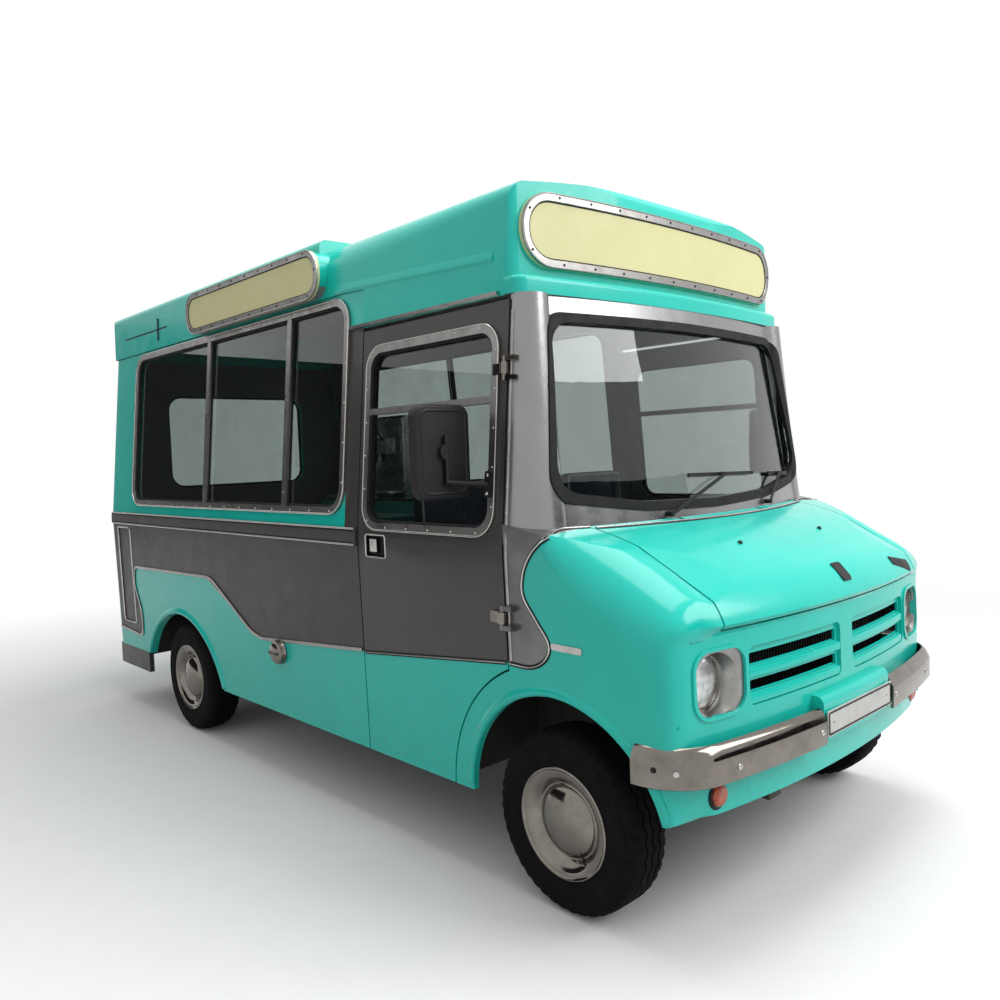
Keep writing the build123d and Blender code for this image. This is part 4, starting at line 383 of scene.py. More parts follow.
def smooth_by_angle(limit):
    """A modifier group that joins split corners and keeps edges sharper than the limit crisp."""
    tree = bpy.data.node_groups.new("smooth_by_angle", "GeometryNodeTree")
    tree.interface.new_socket("Geometry", in_out="INPUT", socket_type="NodeSocketGeometry")
    tree.interface.new_socket("Geometry", in_out="OUTPUT", socket_type="NodeSocketGeometry")
    source = tree.nodes.new("NodeGroupInput")
    result = tree.nodes.new("NodeGroupOutput")
    joined = add_node(tree, "GeometryNodeMergeByDistance", {"Geometry": source.outputs[0], "Distance": 2e-5})
    angle = tree.nodes.new("GeometryNodeInputMeshEdgeAngle").outputs["Unsigned Angle"]
    gentle = add_node(tree, "FunctionNodeCompare", {0: angle, 1: radians(limit)}, operation="LESS_THAN")
    faces = add_node(tree, "GeometryNodeSetShadeSmooth", {"Geometry": joined.outputs[0]}, domain="FACE")
    edges = add_node(
        tree, "GeometryNodeSetShadeSmooth",
        {"Geometry": faces.outputs[0], "Shade Smooth": gentle.outputs[0]}, domain="EDGE",
    )
    tree.links.new(edges.outputs[0], result.inputs[0])
    return tree


SMOOTH = smooth_by_angle(28)


def dress(node, material):
    obj = NODES[node]
    obj.data.materials.clear()
    obj.data.materials.append(MATERIALS[material])
    if "custom_normal" in obj.data.attributes:
        obj.data.attributes.remove(obj.data.attributes["custom_normal"])
    obj.modifiers.new("smooth", "NODES").node_group = SMOOTH


for finish, nodes in NODES_IN.items():
    for node in nodes.split():
        dress(node, finish)


def repaint(node, material, test):
    """Another finish for those faces of a CAD node whose middle and normal pass the test."""
    mesh = NODES[node].data
    mesh.materials.append(MATERIALS[material])
    last = len(mesh.materials) - 1
    for face in mesh.polygons:
        if test(face.center, face.normal):
            face.material_index = last


# Shapes, each given as a list of corners and a list of faces

def even(first, last, steps):
    """Numbers at even steps from the first to the last."""
    return [first + (last - first) * k / steps for k in range(steps + 1)]


def ring_faces(count, size, closed=True):
    """Faces between rings of corners that follow one another."""
    faces = []
    for i in range(count if closed else count - 1):
        j = (i + 1) % count
        for k in range(size):
            m = (k + 1) % size
            faces.append((i * size + k, i * size + m, j * size + m, j * size + k))
    return faces


def sweep(points, normals, profile, closed=False):
    """A section carried along a line on a surface, as places across the line and out from the surface."""
    corners = []
    count, size = len(points), len(profile)
    for i, point in enumerate(points):
        before = points[i - 1] if closed or i else point
        after = points[(i + 1) % count] if closed or i + 1 < count else point
        normal = normals[i].normalized()
        across = (after - before).cross(normal).normalized()
        corners += [point + across * a + normal * h for a, h in profile]
    faces = ring_faces(count, size, closed)
    if not closed:
        faces.append(tuple(range(size)))
        faces.append(tuple((count - 1) * size + k for k in range(size)))
    return corners, faces


def flat_strip(points, normal, profile, closed=True):
    """A section carried along a line on a flat face."""
    return sweep(points, [Vector(normal)] * len(points), profile, closed)


def half_round(wide, tall, sink=0.002, steps=6):
    arc = [(-cos(pi * k / steps) * wide / 2, sin(pi * k / steps) * tall) for k in range(steps + 1)]
    return [(-wide / 2, -sink), *arc, (wide / 2, -sink)]


def flat_band(wide, tall, bevel=0.001, sink=0.002):
    w = wide / 2
    left = [(-w, -sink), (-w, tall - bevel), (bevel - w, tall)]
    return left + [(-across, out) for across, out in reversed(left)]


def turned(section, segments, centre, axis, start=None):
    """A section turned about an axis, as distances along the axis and radii."""
    axis = Vector(axis).normalized()
    first = (start or axis.orthogonal()).normalized()
    second = axis.cross(first)
    corners = []
    for i in range(segments):
        angle = 2 * pi * i / segments
        radial = first * cos(angle) + second * sin(angle)
        corners += [centre + axis * along + radial * radius for along, radius in section]
    return corners, ring_faces(segments, len(section))


def dome(point, normal, radius, tall, segments=10):
    """A rivet or screw head on a surface."""
    edge = [(-0.001, 0.0), (-0.001, radius)]
    section = [*edge, (tall * 0.45, radius * 0.9), (tall * 0.85, radius * 0.55), (tall, 0.0)]
    return turned(section, segments, point, normal)


def slab(low, high, bevel=0.004):
    """A box with bevelled edges."""
    shape = bmesh.new()
    spread = Matrix.LocRotScale((low + high) / 2, None, high - low)
    bmesh.ops.create_cube(shape, size=1.0, matrix=spread)
    bmesh.ops.bevel(shape, geom=shape.edges[:], offset=bevel, segments=2, profile=0.5, affect="EDGES")
    shape.verts.index_update()
    found = [v.co.copy() for v in shape.verts], [tuple(v.index for v in f.verts) for f in shape.faces]
    shape.free()
    return found


def ahead_slab(low, high, bevel):
    """A box with bevelled edges, between places given as distance ahead of the front axle, across and up."""
    return slab(*[Vector((AXLE_X + x, y, z)) for x, y, z in (low, high)], bevel)


def plate(outline, lift, tall, bevel=0.002):
    """A raised plate. lift(place, out, inset) puts a place of the outline on a surface."""
    rings = ((-0.002, 0.0), (tall - bevel, 0.0), (tall, bevel))
    size = len(outline)
    corners = [lift(spot, out, inset) for out, inset in rings for spot in outline]
    ends = [tuple(range(size)), tuple(2 * size + k for k in range(size))]
    return corners, ring_faces(len(rings), size, False) + ends


def rounded(low, high, corner, per=7):
    """Corners of a rounded rectangle between two points of a plane."""
    (x0, y0), (x1, y1) = low, high
    x0, y0, x1, y1 = x0 + corner, y0 + corner, x1 - corner, y1 - corner
    spots = []
    for quarter, (cx, cy) in enumerate(((x1, y1), (x0, y1), (x0, y0), (x1, y0))):
        for k in range(per + 1):
            angle = pi / 2 * (quarter + k / per)
            spots.append((cx + corner * cos(angle), cy + corner * sin(angle)))
    return spots


def spaced(spots, step, closed=True):
    """Places at even steps along a line."""
    pairs = list(zip(spots, spots[1:] + spots[:1] if closed else spots[1:]))
    total = sum(hypot(b[0] - a[0], b[1] - a[1]) for a, b in pairs)
    count = max(2, round(total / step))
    wanted = [total * k / count for k in range(count if closed else count + 1)]
    made, run = [], 0.0
    for a, b in pairs:
        length = hypot(b[0] - a[0], b[1] - a[1])
        while wanted and wanted[0] <= run + length + 1e-9:
            f = (wanted.pop(0) - run) / length if length else 0.0
            made.append((a[0] + (b[0] - a[0]) * f, a[1] + (b[1] - a[1]) * f))
        run += length
    return made


def curved(spots, per=6):
    """A smooth line through the places given."""
    ends = [spots[0], *spots, spots[-1]]
    made = []
    for a, b, c, d in zip(ends, ends[1:], ends[2:], ends[3:]):
        for k in range(per):
            t = k / per
            made.append(tuple(
                q + ((r - p) * t + (2 * p - 5 * q + 4 * r - s) * t**2 + (3 * q - p - 3 * r + s) * t**3) / 2
                for p, q, r, s in zip(a, b, c, d)
            ))
    return made + [spots[-1]]


def linked(name, data):
    """A new object in the scene."""
    obj = bpy.data.objects.new(name, data)
    bpy.context.scene.collection.objects.link(obj)
    return obj


def mounted(name, mesh, body):
    """A new object with smooth shading that rides on a body."""
    obj = linked(name, mesh)
    obj.modifiers.new("smooth", "NODES").node_group = SMOOTH
    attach(obj, body)
    return obj


def piece(name, shapes, material, body="body", other=None):
    """One added piece, made of several shapes. other gives a second finish and the test for its faces."""
    corners, faces = [], []
    for some_corners, some_faces in shapes:
        first = len(corners)
        corners += some_corners
        faces += [tuple(first + k for k in face) for face in some_faces]
    shape = bmesh.new()
    made = [shape.verts.new(corner) for corner in corners]
    for face in faces:
        shape.faces.new([made[k] for k in face])
    bmesh.ops.remove_doubles(shape, verts=shape.verts[:], dist=1e-5)
    bmesh.ops.recalc_face_normals(shape, faces=shape.faces[:])
    mesh = bpy.data.meshes.new(name)
    shape.to_mesh(mesh)
    shape.free()
    mesh.materials.append(MATERIALS[material])
    if other:
        mesh.materials.append(MATERIALS[other[0]])
        for face in mesh.polygons:
            face.material_index = int(other[1](face.center, face.normal))
    return mounted(name, mesh, body)


# Pieces that stand in for a CAD node when places are looked for on its surface
SHAPE_OF = {}
# Where the lines that look for a surface start: beside or above the middle, and ahead of the front axle
OUTSIDE = 2.0
AHEAD = 1.2


def skin(*nodes):
    """A surface made of CAD nodes, to find places on."""
    corners, faces = [], []
    for node in nodes:
        mesh = SHAPE_OF.get(node, NODES[node]).data
        first = len(corners)
        corners += [v.co.copy() for v in mesh.vertices]
        faces += [[first + k for k in face.vertices] for face in mesh.polygons]
    return BVHTree.FromPolygons(corners, faces)


def meet(surface, start, direction):
    """Where a line meets a surface, with the normal turned against the line."""
    direction = Vector(direction)
    spot, normal, _, _ = surface.ray_cast(Vector(start), direction)
    if normal.dot(direction) > 0:
        normal = -normal
    return spot, normal


def from_side(surface, x, z, side):
    return meet(surface, (AXLE_X + x, side * OUTSIDE, z), (0, -side, 0))


def from_above(surface, x, y):
    return meet(surface, (AXLE_X + x, y, OUTSIDE), (0, 0, -1))


def from_front(surface, y, z):
    return meet(surface, (AXLE_X + AHEAD, y, z), (-1, 0, 0))


def line_of(found):
    """Places and normals in two lists, as a sweep takes them."""
    return [spot for spot, _ in found], [normal for _, normal in found]


# Front wings: a copy of the CAD shape with the folds at the corners of the nose rounded off

CORNER_STEP = 0.014
CORNER_BLUR = 0.034
FRONT_ARCH = 0.462
# The brow over the lamp, which stays as it is: outer end, middle height and half height
BROW_Y = 0.905
BROW_Z = 0.894
BROW_HALF = 0.15
# Where the corner starts ahead of the axle and across: for the finer mesh, and for the faces that are blurred
FINE_FROM = (0.22, 0.70)
BLUR_FROM = (0.20, 0.66)
BLUR_BATCH = 200


def share(value, start, end):
    """0 up to the start, 1 from the end, and even between."""
    return min(max((value - start) / (end - start), 0.0), 1.0)


def corner_weight(spot):
    """How far a place on the wing follows the rounded shape: none near the lamp, the arch and the seams."""
    y = abs(spot.y)
    lamp = abs(spot.z - BROW_Z) < BROW_HALF
    arch = hypot(spot.x - AXLE_X, spot.z - TYRE_RADIUS) - FRONT_ARCH
    across = share(y, BROW_Y, BROW_Y + 0.04) if lamp else share(y, 0.80, 0.87)
    return across * share(spot.x, AXLE_X + 0.27, AXLE_X + 0.36) * share(arch, 0.012, 0.06)


def fine_wings():
    """The CAD shape of the wings with small faces at the corners of the nose."""
    def is_coarse(edge):
        spot = (edge.verts[0].co + edge.verts[1].co) / 2
        at_corner = spot.x > AXLE_X + FINE_FROM[0] and abs(spot.y) > FINE_FROM[1]
        return edge.calc_length() > CORNER_STEP and at_corner

    shape = bmesh.new()
    shape.from_mesh(NODES["front_wings"].data)
    bmesh.ops.remove_doubles(shape, verts=shape.verts[:], dist=2e-5)
    for _ in range(8):
        coarse = [edge for edge in shape.edges if is_coarse(edge)]
        if not coarse:
            break
        bmesh.ops.subdivide_edges(shape, edges=coarse, cuts=1)
        bmesh.ops.triangulate(shape, faces=[face for face in shape.faces if len(face.verts) > 3])
    bmesh.ops.dissolve_degenerate(shape, edges=shape.edges[:], dist=0.001)
    shape.normal_update()
    return shape


def blurred(spots, centres, normals, areas):
    """How far places move, along the mean normal near them, to lie on the mean of the faces near them."""
    moved = np.zeros_like(spots)
    for first in range(0, len(spots), BLUR_BATCH):
        some = spots[first:first + BLUR_BATCH]
        gap = ((some[:, None, :] - centres[None, :, :]) ** 2).sum(2)
        weight = areas[None, :] * np.exp(-gap / (2 * CORNER_BLUR**2))
        weight /= weight.sum(1, keepdims=True)
        away = weight @ normals
        away /= np.linalg.norm(away, axis=1, keepdims=True)
        depth = ((weight @ centres - some) * away).sum(1, keepdims=True)
        moved[first:first + BLUR_BATCH] = away * depth
    return moved


def softened_wings():
    shape = fine_wings()
    inside = Vector((AXLE_X + 0.1, 0, 0.8))

    def faces_out(face):
        return face.normal.dot(face.calc_center_median() - inside) > 0

    def on_outside(vert):
        """Whether the faces round a corner, slivers apart, all look outwards."""
        areas = [(face.calc_area(), faces_out(face)) for face in vert.link_faces]
        return sum(a for a, out in areas if not out) < 0.05 * sum(a for a, out in areas)

    def is_blurred(face, side):
        spot = face.calc_center_median()
        return spot.x > AXLE_X + BLUR_FROM[0] and side * spot.y > BLUR_FROM[1] and faces_out(face)

    for side in (-1, 1):
        cloud = [face for face in shape.faces if is_blurred(face, side)]
        centres = np.array([face.calc_center_median() for face in cloud])
        normals = np.array([face.normal for face in cloud])
        areas = np.array([face.calc_area() for face in cloud])
        moving = [
            v for v in shape.verts
            if side * v.co.y > FINE_FROM[1] and corner_weight(v.co) > 0 and on_outside(v)
        ]
        moved = blurred(np.array([v.co for v in moving]), centres, normals, areas)
        for v, shift in zip(moving, moved):
            v.co += Vector(shift) * corner_weight(v.co)
    mesh = bpy.data.meshes.new("wings_rounded")
    shape.to_mesh(mesh)
    shape.free()
    mesh.materials.append(MATERIALS["wing"])
    obj = mounted("wings_rounded", mesh, BODY_OF["front_wings"])
    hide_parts("front_wings")
    return obj


SHAPE_OF["front_wings"] = softened_wings()


# Places on the flat sides of the body: side is -1 on the right and 1 on the left

WAIST_Z = 1.318
HALF_WAIST = 1.020
UPPER_LEAN = 0.095
LOWER_LEAN = 0.02
RISE = 1 / sqrt(1 + UPPER_LEAN**2)
SIDES = (("right", -1), ("left", 1))


def side_normal(z, side):
    return Vector((0, side, UPPER_LEAN if z > WAIST_Z else -LOWER_LEAN)).normalized()


def side_spot(x, z, side, out=0.0):
    lean = UPPER_LEAN if z > WAIST_Z else -LOWER_LEAN
    return Vector((AXLE_X + x, side * (HALF_WAIST - lean * (z - WAIST_Z)), z)) + side_normal(z, side) * out


def side_line(spots, side, profile, out=0.0, closed=False):
    """A strip along the side, through places given as distance ahead of the front axle and height."""
    points = [side_spot(x, z, side, out) for x, z in spots]
    normals = [side_normal(z, side) for x, z in spots]
    return sweep(points, normals, profile, closed)


def side_studs(spots, side, radius, tall, out=0.0):
    return [dome(side_spot(x, z, side, out), side_normal(z, side), radius, tall) for x, z in spots]


def up_side(distance):
    """The height of a place that far up the leaning side from the waist."""
    return WAIST_Z + distance * RISE


def window_outline(x_rear, x_front, low, high, corner, inset):
    """The outline of a side window drawn in by an inset. low and high run up the lean from the waist."""
    rear_foot = (x_rear + inset, up_side(low + inset))
    front_top = (x_front - inset, up_side(high - inset))
    return rounded(rear_foot, front_top, corner - inset)


# Tyres: sidewall ribs, notched shoulders and three zigzag grooves round the tread

TYRE_SIDE = (
    (0.086, 0.183), (0.0905, 0.2), (0.094, 0.212), (0.0965, 0.232), (0.098, 0.25), (0.0975, 0.266),
    (0.096, 0.28), (0.0976, 0.283), (0.097, 0.289), (0.0945, 0.292), (0.0925, 0.303), (0.0905, 0.312),
)
TYRE_SHOULDER = ((0.0880, 0.3190), (0.0790, 0.3270), (0.0660, 0.3328))
GROOVES = (0.036, 0.0, -0.036)
GROOVE_HALF = 0.0045
GROOVE_DEPTH = 0.009
ZIGZAG = 0.0045
NOTCH = 0.006
TYRE_STEPS = 132


def tyre_shape(centre, side):
    section = []
    for i in range(TYRE_STEPS):
        notch = NOTCH if i % 3 == 0 else 0.0
        shift = ZIGZAG if i % 4 < 2 else -ZIGZAG
        shoulder = [(out - notch / 3, radius - notch) for out, radius in TYRE_SHOULDER]
        tread = []
        for groove in GROOVES:
            a = groove + shift
            tread += [
                (a + GROOVE_HALF, TYRE_RADIUS), (a + GROOVE_HALF * 0.7, TYRE_RADIUS - GROOVE_DEPTH),
                (a - GROOVE_HALF * 0.7, TYRE_RADIUS - GROOVE_DEPTH), (a - GROOVE_HALF, TYRE_RADIUS),
            ]
        outer = [*TYRE_SIDE, *shoulder]
        section.append([*outer, *tread, *[(-out, radius) for out, radius in reversed(outer)]])
    corners = []
    for i, row in enumerate(section):
        angle = 2 * pi * i / TYRE_STEPS
        for out, radius in row:
            corners.append(centre + Vector((radius * cos(angle), side * out, radius * sin(angle))))
    return corners, ring_faces(TYRE_STEPS, len(section[0]))


# Wheel: domed cap, dished ring and rolled bead in front, pressed rim behind
WHEEL_SECTION = (
    (0.1, 0.0), (0.0996, 0.016), (0.0984, 0.032), (0.0963, 0.048), (0.0934, 0.064), (0.0896, 0.08),
    (0.0848, 0.096), (0.079, 0.11), (0.073, 0.12), (0.067, 0.1265), (0.062, 0.129), (0.06, 0.131),
    (0.058, 0.134), (0.059, 0.139), (0.064, 0.144), (0.074, 0.151), (0.0835, 0.162), (0.0895, 0.174),
    (0.0925, 0.184), (0.0935, 0.191), (0.096, 0.194), (0.0982, 0.1975), (0.0978, 0.2015), (0.0945, 0.204),
    (0.091, 0.202), (0.087, 0.181), (-0.084, 0.1812), (-0.084, 0.162), (0.038, 0.138), (-0.02, 0.072),
    (-0.0200, 0.0310), (0.0300, 0.0310), (0.0300, 0.0),
)
VALVE_SECTION = (
    (0.0, 0.0), (0.0, 0.0055), (0.012, 0.005), (0.014, 0.0035), (0.022, 0.0035), (0.023, 0.0048),
    (0.031, 0.0045), (0.033, 0.0),
)
VALVE_ANGLE = radians(-62)
VALVE_RADIUS = 0.139
VALVE_OUT = 0.058

for place_name in ("front_right", "front_left", "rear_right", "rear_left"):
    side = 1 if place_name.endswith("left") else -1
    centre = middle("tyre_" + place_name)
    body = BODY_OF["tyre_" + place_name]
    tyre = piece("tyre_treaded_" + place_name, [tyre_shape(centre, side)], "tyre", body)
    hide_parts("tyre_" + place_name)
    outwards = Vector((0, side, 0))
    along, up = VALVE_RADIUS * cos(VALVE_ANGLE), VALVE_RADIUS * sin(VALVE_ANGLE)
    root = centre + Vector((along, side * VALVE_OUT, up))
    shapes = [
        turned(WHEEL_SECTION, 96, centre, outwards, Vector((1, 0, 0))),
        turned(VALVE_SECTION, 12, root, outwards),
    ]
    wheel = piece(
        "wheel_capped_" + place_name, shapes, "chrome", body,
        other=("underseal", lambda spot, normal: side * (spot.y - centre.y) < 0.05),
    )
    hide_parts("wheel_" + place_name)


# Beads and mouldings along the sides

MOULD_LOW_Z = 1.278
MOULD_HIGH_Z = 1.360
MOULD_OUT = 0.0122
MOULD_ENDS = (-4.305, -1.198)
# Lines along the waist moulding: name, finish, section, and distance in from the moulding's edges
MOULD_LINES = (
    # The two thin black bands are painted shade: they stand for the dark grooves of the moulding and lie on
    # its face.
    ("waist_groove_shade_", "rubber", flat_band(0.007, 0.0016, 0.0005), 0.014),
    ("waist_edges_", "bright", half_round(0.009, 0.003), 0.005),
)
WAVE = (
    (-3.985, 0.5112), (-3.912, 0.5096), (-3.893, 0.53), (-3.89, 0.56), (-3.892, 0.65), (-3.925, 0.752),
    (-3.966, 0.825), (-3.981, 0.89), (-3.968, 0.962), (-3.93, 0.9866), (-3.82, 0.9886), (-3.4, 0.9963),
    (-2.9, 1.0054), (-2.83, 1.003), (-2.76, 0.984), (-2.69, 0.952), (-2.48, 0.855), (-2.34, 0.781),
    (-2.260, 0.748), (-2.170, 0.730), (-2.090, 0.7290), (-1.700, 0.7600), (-1.192, 0.8003),
)
QUARTER = rounded((-4.235, 0.585), (-4.012, 1.255), 0.022)
FILLER_X = -1.968
FILLER_Z = 0.679


def near_filler(spot, normal):
    return hypot(spot.x - AXLE_X - FILLER_X, spot.z - FILLER_Z) < 0.07


repaint("brightwork", "rubber", lambda spot, normal: spot.z < 1.15 and abs(normal.y) < 0.9)
repaint("brightwork", "chrome", near_filler)
repaint("brightwork", "pewter", lambda spot, normal: MOULD_LOW_Z - 0.01 < spot.z < MOULD_HIGH_Z + 0.01)
wave_line = spaced(curved(WAVE), 0.03, closed=False)
for name, side in SIDES:
    for prefix, finish, profile, inset in MOULD_LINES:
        lines = [
            side_line([(x, level) for x in MOULD_ENDS], side, profile, MOULD_OUT)
            for level in (MOULD_LOW_Z + inset, MOULD_HIGH_Z - inset)
        ]
        piece(prefix + name, lines, finish)
    quarter = side_line(QUARTER, side, half_round(0.012, 0.005), closed=True)
    piece("quarter_bead_" + name, [quarter], "bright")
    thread = side_line(wave_line, side, half_round(0.007, 0.003), 0.006)
    piece("wave_thread_" + name, [thread], "bright")

# Serving windows: rivets, outer bead, inner rubber and the tracks of the sliding panes

# A window is given by its rear and front ends, its edges up the lean from the waist, and its corners
SERVING = (-3.930, -1.290, 0.094, 1.116, 0.130)
FRAME_OUT = 0.014
MULLIONS = (-2.783, -1.844)
MULLION_ENDS = (0.135, 1.075)
TRACK_SHIFT = 0.026
PANE_OUT = -0.0098
# Distances in from the edge of a window frame
BEAD_INSET = 0.004
RIVET_INSET = 0.017
SEAL_INSET = 0.0425


def window_trim(window, side, step, rivet, out, bead, seal, pane_out):
    """The rivets on the frame of a side window, the bead round it and the rubber inside it."""
    return (
        side_studs(spaced(window_outline(*window, RIVET_INSET), step), side, *rivet, out),
        side_line(window_outline(*window, BEAD_INSET), side, bead, out, True),
        side_line(window_outline(*window, SEAL_INSET), side, seal, pane_out, True),
    )


for name, side in SIDES:
    rivets, bead, seal = window_trim(
        SERVING, side, 0.185, (0.0055, 0.0035), FRAME_OUT, half_round(0.010, 0.004),
        flat_band(0.011, 0.016, 0.002), PANE_OUT,
    )
    for x in MULLIONS:
        column = [(x, up_side(0.20 + 0.155 * k)) for k in range(6)]
        rivets += side_studs(column, side, 0.004, 0.0025, FRAME_OUT - 0.002)
    piece("serving_rivets_" + name, rivets, "bright")
    piece("serving_bead_" + name, [bead], "bright")
    seals = [seal]
    for x in MULLIONS:
        for shift in (-TRACK_SHIFT, TRACK_SHIFT):
            track = [(x + shift, up_side(end)) for end in MULLION_ENDS]
            seals.append(side_line(track, side, flat_band(0.008, 0.010, 0.001), PANE_OUT))
    piece("serving_seals_" + name, seals, "rubber")

# Cab doors: rivets and bead on the frame, rubber, bright bead on the colour line, handle

DOOR_WINDOW = (-1.142, -0.268, 0.034, 0.856, 0.110)
DOOR_FRAME_OUT = 0.010
DOOR_PANE_OUT = -0.0158
DOOR_BEAD = ((-1.176, 0.793), (-0.236, 0.8886))
HANDLE_X = -1.045
HANDLE_Z = 1.284
HANDLE_HALF = (0.074, 0.050)
HINGE_LEVELS = (1.062, 1.985)
# Section of the bright bead where two colours meet
THREAD = half_round(0.008, 0.007)


def near_handle(spot, normal):
    return (
        abs(spot.x - AXLE_X - HANDLE_X) < HANDLE_HALF[0] + 0.005
        and abs(spot.z - HANDLE_Z) < HANDLE_HALF[1] + 0.005
        and 0.985 < abs(spot.y) < 1.0175
    )


def stands_out(spot, by):
    """Whether a place stands out from the plain side of the body."""
    return abs(spot.y) > side_spot(0, spot.z, 1).y + by


def near_hinge(spot, normal):
    high = any(abs(spot.z - level) < 0.05 for level in HINGE_LEVELS)
    return high and -0.305 < spot.x - AXLE_X < -0.16 and stands_out(spot, 0.0015)


def inside_wall(spot, normal):
    return normal.y * spot.y < 0 and abs(normal.y) > 0.5


for name, side in SIDES:
    door, body = "door_" + name, BODY_OF["door_" + name]
    repaint(door, "lining", inside_wall)
    repaint(door, "steel", lambda spot, normal: spot.z > 1.36 and stands_out(spot, 0.002))
    repaint(door, "plastic", near_handle)
    repaint(door, "chrome", near_hinge)
    rivets, bead, seal = window_trim(
        DOOR_WINDOW, side, 0.150, (0.005, 0.0032), DOOR_FRAME_OUT, half_round(0.009, 0.004),
        flat_band(0.010, 0.020, 0.002), DOOR_PANE_OUT,
    )
    piece("door_rivets_" + name, rivets, "bright", body)
    piece("door_beads_" + name, [bead, side_line(DOOR_BEAD, side, THREAD)], "bright", body)
    rubbers = [seal, side_line(DOOR_BEAD, side, flat_band(0.017, 0.0025))]
    piece("door_rubbers_" + name, rubbers, "rubber", body)
    wide, tall = HANDLE_HALF
    rim = rounded((HANDLE_X - wide, HANDLE_Z - tall), (HANDLE_X + wide, HANDLE_Z + tall), 0.012, 4)
    flap = [(HANDLE_X - 0.052, HANDLE_Z), (HANDLE_X, HANDLE_Z)]
    handle = [
        side_line(rim, side, half_round(0.008, 0.004), closed=True),
        side_line(flap, side, flat_band(0.060, 0.004), -0.010),
    ]
    piece("door_handle_" + name, handle, "bright", body)

repaint("cab_front", "chrome", near_hinge)
repaint("brightwork", "bright", lambda spot, normal: spot.z > 2.25)

# Cab side: the bead round the grey tail on the wing, and the riveted bead ahead of each door

TAIL_OVER = (
    (-0.03, 0.95), (-0.042, 0.915), (-0.045, 0.886), (-0.035, 0.85), (-0.022, 0.815), (-0.011, 0.776),
)
PILLAR_BEAD_X = -0.209
PILLAR_GAP_X = -0.2195
# Lower and upper stretch of the gap, which bends at the waist
PILLAR_GAPS = ((0.90, 1.3175), (1.3185, 2.240))

cab_skin = skin("front_wings", "cab_front", "bonnet")
for name, side in SIDES:
    tail = spaced(curved(TAIL_LINE[:-1]), 0.018, closed=False)
    found = [from_side(cab_skin, x, z, side) for x, z in tail]
    found += [from_above(cab_skin, x, side * y) for x, y in TAIL_OVER]
    piece("tail_thread_" + name, [sweep(*line_of(found), THREAD)], "bright")
    piece("tail_rubber_" + name, [sweep(*line_of(found), flat_band(0.018, 0.0025))], "rubber")
    edge = [(PILLAR_BEAD_X, 0.90 + 0.05 * k) for k in range(27)]
    heads = side_studs(edge[1::2], side, 0.004, 0.009)
    piece("pillar_bead_" + name, [side_line(edge, side, half_round(0.016, 0.006)), *heads], "steel")
    # Thin black bands along the gap at the door's front edge: painted shade in the gap.
    gaps = [
        side_line([(PILLAR_GAP_X, z) for z in ends], side, flat_band(0.006, 0.0015, 0.0004))
        for ends in PILLAR_GAPS
    ]
    piece("pillar_gap_shade_" + name, gaps, "rubber")

# The bead goes on along the back of the bonnet, which is bowed

bonnet_skin = skin("bonnet")
bonnet_body = BODY_OF["bonnet"]
found = [from_above(bonnet_skin, 0.112 - 0.176 * y**2, y) for y in even(-0.760, 0.760, 40)]
piece("scuttle_thread", [sweep(*line_of(found), THREAD)], "bright", bonnet_body)
piece("scuttle_rubber", [sweep(*line_of(found), flat_band(0.020, 0.0025))], "rubber", bonnet_body)

# Rolled lips of the wheel arches

REAR_ARCH_X = -3.250
REAR_ARCH_Z = 0.1302
REAR_ARCH = 0.6008
LIP_UP = 0.016
LIP = (
    (-0.014, -0.002), (-0.014, 0.004), (-0.008, 0.009), (0.002, 0.01), (0.012, 0.006), (0.022, 0.0),
    (0.022, -0.002),
)


def arc_spots(x, z, radius, start, end, steps):
    """Places on an arc, which runs between two angles in degrees."""
    angles = [radians(angle) for angle in even(start, end, steps)]
    return [(x + radius * cos(angle), z + radius * sin(angle)) for angle in angles]


wing_skin = skin("front_wings")
for name, side in SIDES:
    arc = arc_spots(0.0, TYRE_RADIUS, FRONT_ARCH + LIP_UP, 16, 176, 60)
    points = [from_side(wing_skin, x, z, side)[0] for x, z in arc]
    lip = flat_strip(points, (0, side, 0), [(-side * a, h) for a, h in LIP], False)
    piece("front_arch_lip_" + name, [lip], "turquoise")
    arc = arc_spots(REAR_ARCH_X, REAR_ARCH_Z, REAR_ARCH + LIP_UP, 21.5, 152.5, 48)
    wide = [(-side * a * 1.15, h * 1.3) for a, h in LIP]
    piece("rear_arch_lip_" + name, [side_line(arc, side, wide)], "turquoise")

# Signs: alloy frames with screws and a dark line round the face

ROOF_FRONT_X = AXLE_X - 0.150
ROOF_BOW = 5.900
SIGN_FACE = 0.016
SIDE_SIGN = ((-2.965, 2.445), (-1.485, 2.681), 0.105)
SIDE_SIGN_Y = 0.9784
FRONT_SIGN = ((-0.884, 2.368), (0.884, 2.652), 0.136)
SIGN_STEP = 0.02
SIGN_TALL = 0.006
SIGN_LINE_GAP = 0.0025


def drawn_in(box, inset, step=SIGN_STEP):
    """Places round a sign, in from its edge."""
    (x0, z0), (x1, z1), corner = box
    return spaced(rounded((x0 + inset, z0 + inset), (x1 - inset, z1 - inset), corner - inset, 10), step)


def front_places(inset, out=0.0, step=SIGN_STEP):
    """Places round the bowed front sign, with their normals."""
    made = []
    for y, z in drawn_in(FRONT_SIGN, inset, step):
        normal = Vector((sqrt(ROOF_BOW**2 - y**2), y, 0)) / ROOF_BOW
        x = ROOF_FRONT_X + SIGN_FACE - ROOF_BOW + sqrt(ROOF_BOW**2 - y**2)
        made.append((Vector((x, y, z)) + normal * out, normal))
    return made


